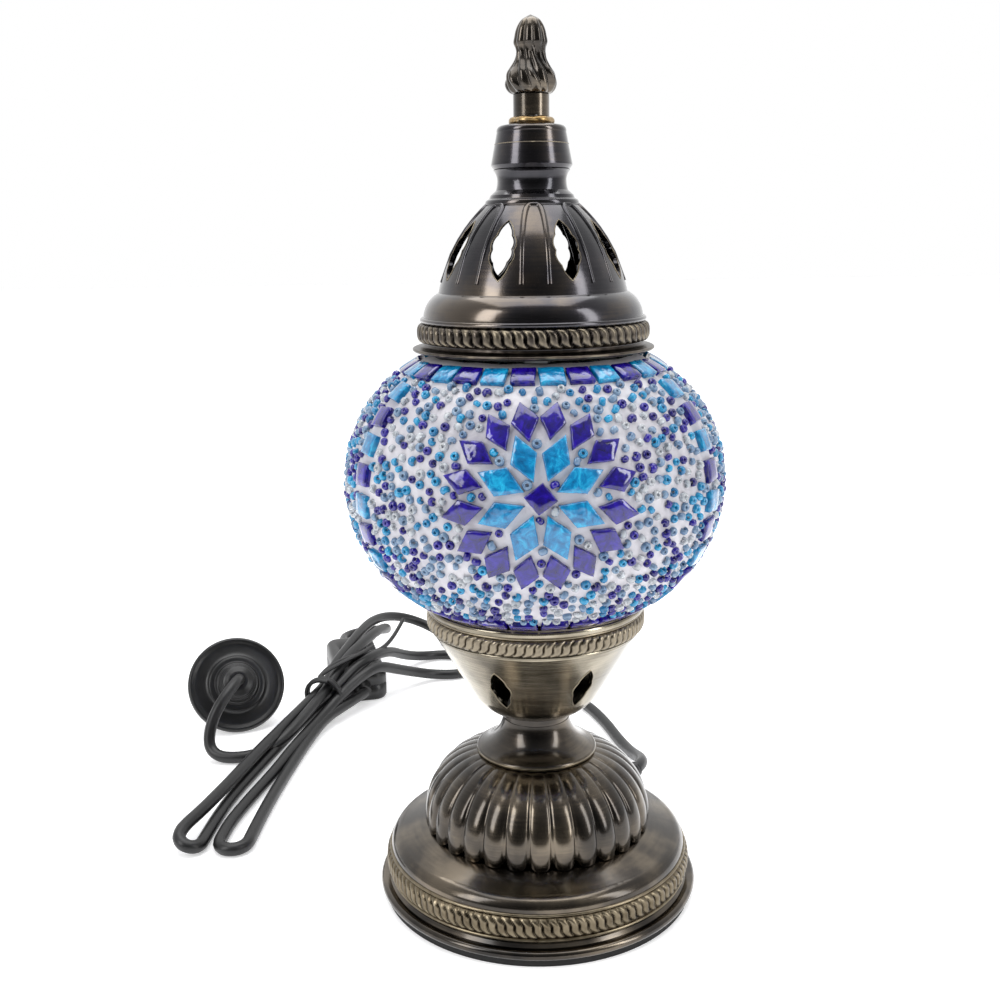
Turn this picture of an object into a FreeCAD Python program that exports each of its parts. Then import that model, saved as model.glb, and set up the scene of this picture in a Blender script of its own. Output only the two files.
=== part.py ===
import FreeCAD, Part
import math
import os
import types
import Sketcher

Vector = FreeCAD.Vector
Rotation = FreeCAD.Rotation
Placement = FreeCAD.Placement

doc = FreeCAD.newDocument("mosaic_table_lamp")
sheet = doc.addObject("Spreadsheet::Sheet", "sizes")
up = Vector(0, 0, 1)
fullTurn = 360

# Driving dimensions in millimetres, angles in degrees.
dimensions = {
    "sheetThickness": 1.2,
    "padRadius": 55.5,
    "padTop": 2.4,
    "footRollRadius": 1.6,
    "footRadius": 57.1,
    "footWallRadius": 53.0,
    "footWallTop": 17.0,
    "footShoulderRadius": 49.0,
    "footShoulderTop": 21.8,
    "footTop": 25.0,
    "footBandBottom": 8.7,
    "footBandTop": 15.9,
    "footBandRadius": 54.6,
    "exitHeight": 11.5,
    "exitAngle": 56.0,
    "pipeRadius": 5.0,
    "pipeBore": 4.0,
    "pipeBottom": 17.0,
    "pipeTop": 78.0,
    "holeRadius": 5.3,
    "nutWidth": 14.0,
    "nutHeight": 4.0,
    "washerRadius": 11.0,
    "washerHeight": 1.0,
    "domeFootRadius": 40.3,
    "domeShoulderRadius": 36.3,
    "domeShoulderHeight": 41.5,
    "domeTopRadius": 20.5,
    "domeTop": 51.6,
    "neckLipRadius": 21.4,
    "neckWaistRadius": 14.2,
    "neckWaistHeight": 58.2,
    "neckTopRadius": 11.9,
    "neckTop": 64.0,
    "collarTop": 66.4,
    "bowlFootRadius": 12.0,
    "bowlCurveRadius": 22.4,
    "bowlCurveHeight": 73.9,
    "bowlWallRadius": 36.0,
    "bowlWallHeight": 97.2,
    "bowlRimRadius": 38.0,
    "bowlTop": 107.9,
    "bowlBandBottom": 98.6,
    "bowlBandTop": 104.4,
    "bowlBandRadius": 38.1,
    "bowlWindows": 6,
    "bowlWindowWidth": 6.4,
    "bowlWindowBottom": 75.0,
    "bowlWindowTop": 90.5,
    "holderRadius": 13.5,
    "holderShoulder": 82.0,
    "holderTop": 101.0,
    "screwShellRadius": 7.6,
    "screwShellBottom": 86.0,
    "screwShellTop": 99.0,
    "bulbCapRadius": 6.8,
    "bulbCapBottom": 87.0,
    "bulbCapTop": 103.0,
    "bulbRadius": 22.5,
    "bulbNeckHeight": 18.0,
    "bulbCentre": 138.0,
    "gasketRadius": 35.5,
    "gasketBore": 30.6,
    "gasketBottom": 104.8,
    "gasketTop": 107.5,
    "globeRing": 18.1,
    "globeHeight": 150.5,
    "globeOuter": 46.9,
    "groutOuter": 45.6,
    "glassOuter": 44.4,
    "glassInner": 42.4,
    "globeMouth": 70.0,
    "tileEdge": 64.0,
    "capRingRadius": 40.2,
    "capRingBottom": 193.6,
    "capRingTop": 196.4,
    "capBandBottom": 197.0,
    "capBandTop": 204.6,
    "capBandRadius": 38.2,
    "capWallRadius": 36.4,
    "capStepRadius": 31.2,
    "capStepHeight": 213.2,
    "capShoulderRadius": 26.3,
    "capShoulderHeight": 226.8,
    "capCrownRadius": 14.6,
    "capCrownHeight": 241.2,
    "capRidgeRadius": 13.5,
    "capNeckRadius": 11.0,
    "capNeckTop": 252.0,
    "capWindows": 8,
    "capWindowWidth": 7.6,
    "capWindowBottom": 217.5,
    "capWindowTop": 236.0,
    "cupTop": 265.6,
    "cupRadius": 13.2,
    "cupTopRadius": 10.8,
    "stemCollarRadius": 6.8,
    "stemCollarTop": 268.4,
    "stemRadius": 5.8,
    "stemTop": 275.0,
    "finialBulbRadius": 8.4,
    "finialBulbHeight": 279.6,
    "finialWaistRadius": 5.0,
    "finialWaistHeight": 287.2,
    "finialBudRadius": 5.5,
    "finialBudHeight": 291.0,
    "finialTop": 299.2,
    "rodRadius": 3.0,
    "rodHole": 3.2,
    "rodBottom": 240.0,
    "capNutWidth": 10.0,
    "capNutHeight": 3.0,
    "springRadius": 31.9,
    "springBottom": 178.0,
    "springWidth": 7.0,
    "springThickness": 0.6,
    "springCount": 3,
    "cordRadius": 2.6,
    "bushReach": 25.0,
    "bushRadius": 4.6,
    "bushTipRadius": 3.3,
    "switchLength": 58.0,
    "switchWidth": 26.0,
    "switchCorner": 7.0,
    "switchSplit": 8.0,
    "switchTop": 16.0,
    "switchWall": 1.6,
    "switchGland": 7.0,
    "rockerLength": 20.8,
    "rockerWidth": 12.0,
    "rockerGap": 0.6,
    "rockerPivot": 12.6,
    "rockerPivotRadius": 1.0,
    "rockerTilt": 7.0,
    "plugRadius": 23.0,
    "plugRim": 2.0,
    "plugBossRadius": 8.5,
    "plugBossLength": 11.0,
    "plugBodyRadius": 16.0,
    "plugBodyTip": 13.5,
    "plugBodyLength": 18.0,
    "pinRadius": 2.4,
    "pinLength": 19.0,
    "pinSpacing": 19.0,
    "hankFootWidth": 32.0,
    "hankFootHeight": 9.0,
    "hankHeadWidth": 12.0,
    "hankHeadLow": 6.0,
    "hankHeadTop": 18.0,
    "tieRing": 10.2,
    "tieWire": 1.1,
    "tileBed": 0.02,
    "tileSide": 7.2,
    "tileGap": 1.1,
    "diamondHalf": 4.6,
    "petalLong": 15.4,
    "petalWide": 8.9,
    "outerPetalLong": 13.2,
    "outerPetalWide": 8.2,
    "outerPetalAt": 24.4,
    "outerPetalFan": 8.0,
}


class Length:
    """A size that carries both its number and the sheet expression it stands for."""

    def __init__(self, text, number):
        self.text = text
        self.number = number

    def __add__(self, other):
        other = as_length(other)
        return Length(f"({self.text} + {other.text})", self.number + other.number)

    def __sub__(self, other):
        other = as_length(other)
        return Length(f"({self.text} - {other.text})", self.number - other.number)

    def __mul__(self, factor):
        return Length(f"({self.text} * {factor})", self.number * factor)

    def __neg__(self):
        return self * -1


def as_length(value):
    return value if isinstance(value, Length) else Length(str(float(value)), float(value))


for row, (alias, number) in enumerate(dimensions.items(), start=1):
    sheet.set(f"A{row}", alias)
    sheet.set(f"B{row}", str(number))
    sheet.setAlias(f"B{row}", alias)
doc.recompute()
s = types.SimpleNamespace(**{alias: Length(f"sizes.{alias}", number) for alias, number in dimensions.items()})
thick = s.sheetThickness

finished = []


def finish(item, label):
    item.Label = label
    finished.append(item)
    return item


def bind(item, **properties):
    for name, value in properties.items():
        value = as_length(value)
        setattr(item, name, value.number)
        item.setExpression(name, value.text)
    return item


# Sketches and bodies
def origin_feature(body, role):
    return next(feature for feature in body.Origin.OriginFeatures if feature.Role == role)


def flat_point(pair):
    return Vector(as_length(pair[0]).number, as_length(pair[1]).number, 0)


def fix_point(sketch, geometry, position, across, along):
    """Hold one sketch point at its place with sizes bound to the sheet."""
    for kind, value, axis in (("DistanceX", across, -2), ("DistanceY", along, -1)):
        value = as_length(value)
        if abs(value.number) < 1e-9:
            sketch.addConstraint(Sketcher.Constraint("PointOnObject", geometry, position, axis))
            continue
        index = sketch.addConstraint(Sketcher.Constraint(kind, -1, 1, geometry, position, value.number))
        name = f"at{index}"
        sketch.renameConstraint(index, name)
        sketch.setExpression(f"Constraints.{name}", value.text)


def draw(sketch, start, *steps):
    """Draw a closed outline. A step of two sizes is a line to a point, one of four an arc through a point."""
    steps = list(steps)
    if flat_point(steps[-1][-2:]).distanceToPoint(flat_point(start)) > 1e-6:
        steps.append(start)
    here = start
    edges = []
    for step in steps:
        goal = step[-2:]
        a, b = flat_point(here), flat_point(goal)
        if len(step) == 4:
            middle = flat_point(step[:2])
            edge = sketch.addGeometry(Part.Arc(a, middle, b), False)
            mark = sketch.addGeometry(Part.Point(middle), True)
            sketch.addConstraint(Sketcher.Constraint("PointOnObject", mark, 1, edge))
            fix_point(sketch, mark, 1, step[0], step[1])
        else:
            edge = sketch.addGeometry(Part.LineSegment(a, b), False)
        begins = 1 if sketch.getPoint(edge, 1).distanceToPoint(a) < 1e-6 else 2
        fix_point(sketch, edge, begins, here[0], here[1])
        edges.append((edge, begins))
        here = goal
    for (edge, begins), (following, starts) in zip(edges, edges[1:] + edges[:1]):
        sketch.addConstraint(Sketcher.Constraint("Coincident", edge, 3 - begins, following, starts))


def new_sketch(body, name, role):
    sketch = body.newObject("Sketcher::SketchObject", name)
    sketch.AttachmentSupport = (origin_feature(body, role), [""])
    sketch.MapMode = "FlatFace"
    return sketch


def spun_body(label, start, *steps):
    """A piece turned or spun about the upright axis: outline points are (radius, height)."""
    body = doc.addObject("PartDesign::Body", label)
    sketch = new_sketch(body, f"{label}_outline", "XZ_Plane")
    draw(sketch, start, *steps)
    turn = body.newObject("PartDesign::Revolution", f"{label}_turn")
    turn.Profile = sketch
    turn.ReferenceAxis = (sketch, ["V_Axis"])
    turn.Angle = fullTurn
    body.Tip = turn
    return body


def spun(label, start, *steps):
    return finish(spun_body(f"{label}_body", start, *steps), label)


def ring(label, bore, radius, bottom, top):
    return spun(label, (bore, bottom), (radius, bottom), (radius, top), (bore, top))


def padded_body(label, role, lift, height, outline, midplane=False):
    """A piece padded from a flat outline that lies at a height above an origin plane."""
    body = doc.addObject("PartDesign::Body", label)
    sketch = new_sketch(body, f"{label}_outline", role)
    sketch.setExpression("AttachmentOffset.Base.z", as_length(lift).text)
    draw(sketch, *outline)
    pad = body.newObject("PartDesign::Pad", f"{label}_pad")
    pad.Profile = sketch
    pad.Midplane = midplane
    bind(pad, Length=height)
    body.Tip = pad
    doc.recompute()
    return body


def pocket(body, name, lift, depth, outline):
    """Cut a flat outline upward from its height, and make sure that it cuts."""
    solid = body.Tip
    sketch = new_sketch(body, f"{name}_outline", "XY_Plane")
    sketch.setExpression("AttachmentOffset.Base.z", as_length(lift).text)
    draw(sketch, *outline)
    cut = body.newObject("PartDesign::Pocket", name)
    cut.Profile = sketch
    cut.Type = "Length"
    cut.Reversed = True
    bind(cut, Length=depth)
    body.Tip = cut
    doc.recompute()
    if cut.Shape.Volume > solid.Shape.Volume - 1:
        raise RuntimeError(f"{name} cut nothing")


def leaf(width, bottom, top, scallops):
    """A pointed leaf with scalloped edges, as an outline about the upright centre line."""
    height = top - bottom
    steps = []
    for side in (1, -1):
        for index in range(scallops):
            low, high = index / scallops, (index + 1) / scallops
            if side < 0:
                low, high = 1 - low, 1 - high
            middle = (low + high) / 2
            swell = round(0.58 * side * math.sin(math.pi * middle) ** 0.8, 4)
            reach = round(0.5 * side * abs(math.sin(math.pi * high)) ** 0.8, 4)
            across = 0 if high in (0, 1) else width * reach
            steps.append((width * swell, bottom + height * middle, across, bottom + height * high))
    return [(0, bottom)] + steps


def pierce(body, name, count, first_angle, reach, outline):
    """Pierce a ring of windows through one wall of a spun piece."""
    solid = body.Tip
    sketch = new_sketch(body, f"{name}_outline", "XZ_Plane")
    sketch.AttachmentOffset = Placement(Vector(), Rotation(Vector(0, 1, 0), first_angle))
    draw(sketch, *outline)
    cut = body.newObject("PartDesign::Pocket", f"{name}_pocket")
    cut.Profile = sketch
    cut.Type = "Length"
    bind(cut, Length=reach)
    body.Tip = cut
    doc.recompute()
    if cut.Shape.isNull() or cut.Shape.Volume > solid.Shape.Volume - 1:
        cut.Reversed = True
        doc.recompute()
    pattern = body.newObject("PartDesign::PolarPattern", f"{name}_pattern")
    pattern.Originals = [cut]
    pattern.Axis = (origin_feature(body, "Z_Axis"), [""])
    pattern.Angle = fullTurn
    pattern.Occurrences = count
    body.Tip = pattern
    doc.recompute()
    removed = solid.Shape.Volume - pattern.Shape.Volume
    print(f"{name}: {count} windows took {removed:.1f} cubic mm")
    if removed < 1:
        raise RuntimeError(f"{name} cut nothing")


# Primitives
def cylinder(name, radius, height, base, direction=up):
    item = doc.addObject("Part::Cylinder", name)
    bind(item, Radius=radius, Height=height)
    item.Placement = Placement(base, Rotation(up, direction))
    return item


def cone(name, bottom_radius, top_radius, height, base, direction=up):
    item = doc.addObject("Part::Cone", name)
    bind(item, Radius1=bottom_radius, Radius2=top_radius, Height=height)
    item.Placement = Placement(base, Rotation(up, direction))
    return item


def cut_from(name, base, tool):
    result = doc.addObject("Part::Cut", name)
    result.Base = base
    result.Tool = tool
    return result


def fuse(name, *items):
    result = doc.addObject("Part::MultiFuse", name)
    result.Shapes = list(items)
    return result


def hexagon_nut(label, width, bottom, height, bore):
    """A hexagon nut: a prism with a round bore."""
    prism = doc.addObject("Part::Prism", f"{label}_prism")
    prism.Polygon = 6
    bind(prism, Circumradius=width * round(1 / math.sqrt(3), 4), Height=height)
    prism.setExpression("Placement.Base.z", as_length(bottom).text)
    hole = doc.addObject("Part::Cylinder", f"{label}_hole")
    bind(hole, Radius=bore, Height=height)
    hole.setExpression("Placement.Base.z", as_length(bottom).text)
    return finish(cut_from(f"{label}_solid", prism, hole), label)


def code_shape(label, shape):
    """A piece that no feature makes directly, set from its solids."""
    item = doc.addObject("Part::Feature", f"{label}_shape")
    item.Shape = shape
    return finish(item, label)


def tube(label, points, radius):
    """A cord: straight runs joined by tangent arcs as large as the runs allow."""
    points = [Vector(*p) for p in points]
    edges = []
    radii = []
    here = points[0]
    for before, corner, after in zip(points, points[1:], points[2:]):
        arriving, leaving = corner - before, after - corner
        half_turn = arriving.getAngle(leaving) / 2
        trim = 0.45 * min(arriving.Length, leaving.Length)
        bend = trim / math.tan(half_turn)
        radii.append(bend)
        arriving.normalize()
        leaving.normalize()
        start, end = corner - arriving * trim, corner + leaving * trim
        inward = leaving - arriving
        inward.normalize()
        middle = corner + inward * (bend / math.cos(half_turn) - bend)
        edges += [Part.LineSegment(here, start).toShape(), Part.Arc(start, middle, end).toShape()]
        here = end
    edges.append(Part.LineSegment(here, points[-1]).toShape())
    path = Part.Wire(edges)
    section = Part.Wire(Part.Circle(points[0], points[1] - points[0], radius).toShape())
    solid = path.makePipeShell([section], True, False)
    share = solid.Volume / (math.pi * radius ** 2 * path.Length)
    tight = ", ".join(f"{r:.0f}" for r in radii)
    lowest = solid.BoundBox.ZMin
    print(f"{label}: length {path.Length:.0f}, volume share {share:.4f}, lowest {lowest:.2f}, radii {tight}")
    return code_shape(label, solid)


# Foot, with its pad, bottom plate and rope band
ring("base_pad", 8, s.padRadius, 0, s.padTop)
footWall = s.footWallRadius
innerWall = footWall - thick
ring("bottom_plate", 8, innerWall - 0.1, s.padTop, s.padTop + thick)

exitTurn = math.radians(s.exitAngle.number)
outward = Vector(math.cos(exitTurn), math.sin(exitTurn), 0)
exitAt = outward * s.footWallRadius.number + up * s.exitHeight.number


def exit_hole(name, radius):
    """The round hole that the cord leaves the foot through."""
    return cylinder(name, radius, 12, exitAt - outward * 6, outward)


footRollCentre = s.footRadius - s.footRollRadius
footSheetTop = s.footTop - 0.3
foot = spun_body(
    "foot_spinning",
    (innerWall, s.padTop),
    (footRollCentre, s.padTop),
    (s.footRadius, s.padTop + s.footRollRadius, footRollCentre, s.padTop + s.footRollRadius * 2),
    (footWall + 1, s.padTop + s.footRollRadius * 2),
    (footWall, s.padTop + s.footRollRadius * 2 + 1),
    (footWall, s.footWallTop),
    (footWall - 1.1, s.footWallTop + 3.2, s.footShoulderRadius, s.footShoulderTop),
    (s.domeFootRadius - 1, footSheetTop),
    (s.holeRadius, footSheetTop),
    (s.holeRadius, footSheetTop - thick),
    (s.domeFootRadius - 1.3, footSheetTop - thick),
    (s.footShoulderRadius - 0.4, s.footShoulderTop - thick),
    (footWall - 2.1, s.footWallTop + 2.3, innerWall, s.footWallTop),
)
finish(cut_from("foot_with_exit", foot, exit_hole("foot_exit", s.cordRadius + 1)), "base_foot")

footBand = spun_body(
    "foot_band_strip",
    (footWall, s.footBandBottom),
    (s.footBandRadius - 0.6, s.footBandBottom),
    (s.footBandRadius, (s.footBandBottom + s.footBandTop) * 0.5, s.footBandRadius - 0.6, s.footBandTop),
    (footWall, s.footBandTop),
)
finish(cut_from("band_with_exit", footBand, exit_hole("band_exit", s.bushRadius + 0.2)), "foot_rope_band")

# Cord bush: a tapered sleeve that presses into the foot wall and lets the cord out.
sleeve = cone("bush_sleeve", s.bushRadius, s.bushTipRadius, s.bushReach, exitAt + outward * 0.05, outward)
shank = cylinder("bush_shank", s.cordRadius + 0.9, 3, exitAt - outward * 2.9, outward)
bushBore = cylinder("bush_bore", s.cordRadius, s.bushReach + 10, exitAt - outward * 5, outward)
finish(cut_from("bush_with_bore", fuse("bush_solid", sleeve, shank), bushBore), "cable_bush")

# Fluted dome, neck and the threaded pipe that holds them together
spun(
    "fluted_dome",
    (s.domeFootRadius, footSheetTop),
    (s.domeShoulderRadius, s.domeShoulderHeight, s.domeTopRadius, s.domeTop),
    (s.holeRadius, s.domeTop),
    (s.holeRadius, s.domeTop - thick),
    (s.domeTopRadius - 0.4, s.domeTop - thick),
    (s.domeShoulderRadius - 1, s.domeShoulderHeight - 0.8, s.domeFootRadius - thick, footSheetTop),
)
spun(
    "neck_cone",
    (s.domeTopRadius - 2.8, s.domeTop),
    (s.neckLipRadius - 1, s.domeTop),
    (s.neckLipRadius, s.domeTop + 1, s.neckLipRadius - 1, s.domeTop + 2),
    (s.domeTopRadius - 1.5, s.domeTop + 2.6),
    (s.neckWaistRadius, s.neckWaistHeight, s.neckTopRadius, s.neckTop),
    (s.holeRadius, s.neckTop),
    (s.holeRadius, s.neckTop - thick),
    (s.neckTopRadius - thick, s.neckTop - thick),
    (s.neckWaistRadius - thick, s.neckWaistHeight - 0.6, s.domeTopRadius - 2.8, s.domeTop + 2),
)
ring("neck_collar", s.holeRadius, s.neckTopRadius - 0.2, s.neckTop, s.collarTop)
ring("threaded_pipe", s.pipeBore, s.pipeRadius, s.pipeBottom, s.pipeTop)
footUnder = footSheetTop - thick
ring("base_washer", s.holeRadius, s.washerRadius, footUnder - s.washerHeight, footUnder)
hexagon_nut("base_nut", s.nutWidth, footUnder - s.washerHeight - s.nutHeight, s.nutHeight, s.pipeRadius)

# Bowl with its windows, rope band, nut and washer
bowlFloor = s.collarTop + thick
bowl = spun_body(
    "bowl_spinning",
    (s.holeRadius, s.collarTop),
    (s.bowlFootRadius, s.collarTop),
    (s.bowlFootRadius + 6.2, s.collarTop + 3, s.bowlCurveRadius, s.bowlCurveHeight),
    (s.bowlCurveRadius + 6.9, s.bowlCurveHeight + 12, s.bowlWallRadius, s.bowlWallHeight),
    (s.bowlWallRadius + 0.6, s.bowlTop - 3.1),
    (s.bowlRimRadius, s.bowlTop - 1.5, s.bowlRimRadius - 1.2, s.bowlTop),
    (s.bowlRimRadius - 2.4, s.bowlTop - 1),
    (s.bowlWallRadius - 0.5, s.bowlTop - 3.1),
    (s.bowlWallRadius - 1.1, s.bowlWallHeight + 0.4),
    (s.bowlCurveRadius + 5.8, s.bowlCurveHeight + 12.6, s.bowlCurveRadius - 1, s.bowlCurveHeight + 0.8),
    (s.bowlFootRadius + 5.5, s.collarTop + 4.1, s.bowlFootRadius - 0.4, bowlFloor),
    (s.holeRadius, bowlFloor),
)
bowlLeaf = leaf(s.bowlWindowWidth, s.bowlWindowBottom, s.bowlWindowTop, 3)
pierce(bowl, "bowl_windows", int(s.bowlWindows.number), -27, s.bowlRimRadius + 4, bowlLeaf)
finish(bowl, "bowl")
ring("bowl_rope_band", s.bowlWallRadius + 0.65, s.bowlBandRadius, s.bowlBandBottom, s.bowlBandTop)
ring("bowl_washer", s.holeRadius, s.washerRadius - 1, bowlFloor, bowlFloor + s.washerHeight)
bowlNutTop = bowlFloor + s.washerHeight + s.nutHeight
hexagon_nut("bowl_nut", s.nutWidth, bowlFloor + s.washerHeight, s.nutHeight, s.pipeRadius)

# Lampholder and bulb
holderBush = s.pipeRadius + 3
holderSeat = s.holderShoulder + 2
spun(
    "holder_cap",
    (s.pipeRadius, bowlNutTop),
    (holderBush, bowlNutTop),
    (holderBush, s.holderShoulder - 4),
    (s.holderRadius, s.holderShoulder),
    (s.holderRadius, holderSeat),
    (s.pipeRadius, holderSeat),
)
spun(
    "holder_sleeve",
    (s.holderRadius - 2, holderSeat),
    (s.holderRadius, holderSeat),
    (s.holderRadius, s.holderTop - 1),
    (s.holderRadius - 1, s.holderTop),
    (s.screwShellRadius + 0.6, s.holderTop),
    (s.screwShellRadius + 0.6, s.holderTop - 2),
    (s.holderRadius - 2, s.holderTop - 2),
)
ring("holder_screw_shell", s.bulbCapRadius, s.screwShellRadius, s.screwShellBottom, s.screwShellTop)
ring("holder_contact", 0, s.bulbCapRadius - 1, holderSeat, s.bulbCapBottom)
ring("bulb_cap", 0, s.bulbCapRadius, s.bulbCapBottom, s.bulbCapTop)
bulbBall = doc.addObject("Part::Sphere", "bulb_ball")
bind(bulbBall, Radius=s.bulbRadius)
bulbBall.setExpression("Placement.Base.z", s.bulbCentre.text)
bulbNeckBase = up * s.bulbCapTop.number
bulbNeck = cone("bulb_neck", s.bulbCapRadius + 1, s.bulbRadius * 0.62, s.bulbNeckHeight, bulbNeckBase)
finish(fuse("bulb_solid", bulbBall, bulbNeck), "bulb_envelope")

# Cord inside the lamp: from the bush across the foot, then up through the pipe to the holder.
innerPoints = [
    exitAt - outward * 3,
    exitAt - outward * 24 - up * 3.4,
    outward * 13 + up * 6.8,
    outward * 3 + up * 7.4,
    up * 16,
    up * 34 + outward * 0.4,
    up * 56,
    up * s.pipeTop.number,
]
tube("inner_cord", innerPoints, s.cordRadius.number)

# Globe: gasket, glass shell, grout and the cut glass tiles
ring("globe_gasket", s.gasketBore, s.gasketRadius, s.gasketBottom, s.gasketTop)


def globe_layer(label, inner, outer, latitude):
    """A shell of the globe between two distances from the ring centre."""
    slope = math.radians(latitude.number)
    across, along = round(math.cos(slope), 6), round(math.sin(slope), 6)
    axis, middle = s.globeRing, s.globeHeight
    return spun_body(
        label,
        (axis + inner * across, middle - inner * along),
        (axis + outer * across, middle - outer * along),
        (axis + outer, middle, axis + outer * across, middle + outer * along),
        (axis + inner * across, middle + inner * along),
        (axis + inner, middle, axis + inner * across, middle - inner * along),
    )


finish(globe_layer("glass_shell", s.glassInner, s.glassOuter, s.globeMouth), "globe_glass")
finish(globe_layer("grout_shell", s.glassOuter, s.groutOuter, s.globeMouth), "grout_layer")
tileShell = globe_layer("tile_shell", s.groutOuter + s.tileBed, s.globeOuter, s.tileEdge)
doc.recompute()
reachOut = s.globeOuter.number


def parallel_radius(latitude):
    return s.globeRing.number + reachOut * math.cos(math.radians(latitude))


def globe_tile(bearing, latitude, corners):
    """A flat-sided piece of glass: an outline in mm (right, up) about a place on the globe."""
    turn, swing = math.radians(bearing), math.radians(latitude)
    radius = parallel_radius(latitude)
    centre = Vector(radius * math.cos(turn), radius * math.sin(turn), 0)
    centre.z = s.globeHeight.number + reachOut * math.sin(swing)
    normal = Vector(math.cos(swing) * math.cos(turn), math.cos(swing) * math.sin(turn), math.sin(swing))
    right = Vector(-math.sin(turn), math.cos(turn), 0)
    rise = normal.cross(right)
    outline = [centre + right * x + rise * y - normal * 4 for x, y in corners]
    prism = Part.Face(Part.makePolygon(outline + outline[:1])).extrude(normal * 6)
    return prism.common(tileShell.Shape).Solids


def place_from(bearing, latitude, distance, direction):
    """The place on the globe at a distance in mm from another, in a direction measured from right."""
    along = math.radians(direction)
    latitude_there = latitude + math.degrees(distance * math.sin(along) / reachOut)
    reach = parallel_radius((latitude + latitude_there) / 2)
    return bearing + math.degrees(distance * math.cos(along) / reach), latitude_there


def turned(corners, degrees):
    turn = math.radians(degrees)
    return [(x * math.cos(turn) - y * math.sin(turn), x * math.sin(turn) + y * math.cos(turn)) for x, y in corners]


def rhombus(length, width):
    return [(-length / 2, 0), (0, -width / 2), (length / 2, 0), (0, width / 2)]


def rectangle(width, height):
    return [(-width / 2, -height / 2), (width / 2, -height / 2), (width / 2, height / 2), (-width / 2, height / 2)]


medallionBearings = (-90, 30, 150)
columnBearings = (-30, 90, 210)
medallionLatitude = 8
petals = 8
columnTiles = 9
rowTiles = {"top": 30, "bottom": 26}
groups = {
    "medallion_centres": [],
    "medallion_inner_petals": [],
    "medallion_outer_petals": [],
    "column_tiles_dark": [],
    "column_tiles_light": [],
    "top_row_dark": [],
    "top_row_light": [],
    "bottom_row": [],
}
petalLong, petalWide = s.petalLong.number, s.petalWide.number
outerOutline = rhombus(s.outerPetalLong.number, s.outerPetalWide.number)
half = s.diamondHalf.number
for bearing in medallionBearings:
    diamond = turned(rectangle(half * 1.5, half * 1.5), 38)
    groups["medallion_centres"] += globe_tile(bearing, medallionLatitude, diamond)
    for petal in range(petals):
        direction = fullTurn / petals * (petal + 0.5)
        inner = place_from(bearing, medallionLatitude, half + 0.7 + petalLong / 2, direction)
        groups["medallion_inner_petals"] += globe_tile(*inner, turned(rhombus(petalLong, petalWide), direction))
        for side in (-1, 1):
            lean = direction + side * fullTurn / petals / 4
            outer = place_from(bearing, medallionLatitude, s.outerPetalAt.number, lean)
            outline = turned(outerOutline, direction + side * s.outerPetalFan.number)
            groups["medallion_outer_petals"] += globe_tile(*outer, outline)

side, gap = s.tileSide.number, s.tileGap.number
columnStep = math.degrees((side + gap + 1.6) / reachOut)
for bearing in columnBearings:
    for index in range(columnTiles):
        latitude = (index - (columnTiles - 1) / 2) * columnStep - 2
        key = "column_tiles_dark" if index % 2 else "column_tiles_light"
        groups[key] += globe_tile(bearing, latitude, turned(rectangle(side, side), 4 if index % 2 else -5))

for row, count in rowTiles.items():
    sign = 1 if row == "top" else -1
    height = side if row == "top" else side * 0.7
    latitude = sign * (s.tileEdge.number - math.degrees((height / 2 + 0.3) / reachOut))
    width = 2 * math.pi * parallel_radius(latitude) / count - gap
    for index in range(count):
        bearing = fullTurn / count * (index + 0.5) - 90
        key = "bottom_row" if row == "bottom" else ("top_row_dark" if index % 2 else "top_row_light")
        groups[key] += globe_tile(bearing, latitude, rectangle(width, height))
for label, solids in groups.items():
    print(f"{label}: {len(solids)} tiles")
    code_shape(label, Part.makeCompound(solids))

# Cap: rim ring, pierced dome, rope band, cup, stem and finial on their rod
ring("cap_rim_ring", s.springRadius + 0.4, s.capRingRadius, s.capRingBottom, s.capRingTop)
capWall = s.capWallRadius
cap = spun_body(
    "cap_spinning",
    (capWall - thick, s.capRingTop),
    (capWall, s.capRingTop),
    (capWall, s.capBandTop),
    (capWall - 1, s.capStepHeight - 4.2, s.capStepRadius, s.capStepHeight),
    (s.capStepRadius - 0.6, s.capStepHeight + 2.4),
    (s.capShoulderRadius, s.capShoulderHeight, s.capCrownRadius, s.capCrownHeight),
    (s.capRidgeRadius, s.capCrownHeight + 2.8),
    (s.capNeckRadius + 0.4, s.capCrownHeight + 4.6),
    (s.capNeckRadius, s.capNeckTop),
    (s.rodHole, s.capNeckTop),
    (s.rodHole, s.capNeckTop - thick),
    (s.capNeckRadius - thick, s.capNeckTop - thick),
    (s.capNeckRadius - thick, s.capCrownHeight + 3.4),
    (s.capCrownRadius - 2.4, s.capCrownHeight + 0.6),
    (s.capShoulderRadius - 1, s.capShoulderHeight - 0.7, s.capStepRadius - 1.8, s.capStepHeight + 2.4),
    (s.capStepRadius - 1.6, s.capStepHeight - 0.8),
    (capWall - 2.5, s.capStepHeight - 5, capWall - thick, s.capBandTop - 0.4),
)
capLeaf = leaf(s.capWindowWidth, s.capWindowBottom, s.capWindowTop, 4)
pierce(cap, "cap_windows", int(s.capWindows.number), 22.5, s.capWallRadius + 6, capLeaf)
finish(cap, "cap_dome")
ring("cap_rope_band", capWall, s.capBandRadius, s.capBandBottom, s.capBandTop)
spun(
    "cap_cup",
    (s.rodHole, s.capNeckTop),
    (s.cupRadius - 1, s.capNeckTop),
    (s.cupRadius, s.capNeckTop + 1.4),
    (s.cupTopRadius + 0.4, s.cupTop - 2),
    (s.cupTopRadius, s.cupTop - 0.5, s.cupTopRadius - 1.6, s.cupTop),
    (s.rodHole, s.cupTop),
)
spun(
    "stem_collar",
    (s.rodHole, s.cupTop),
    (s.stemCollarRadius - 0.4, s.cupTop),
    (s.stemCollarRadius, s.cupTop + 1, s.stemRadius, s.stemCollarTop),
    (s.rodHole, s.stemCollarTop),
)
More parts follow.
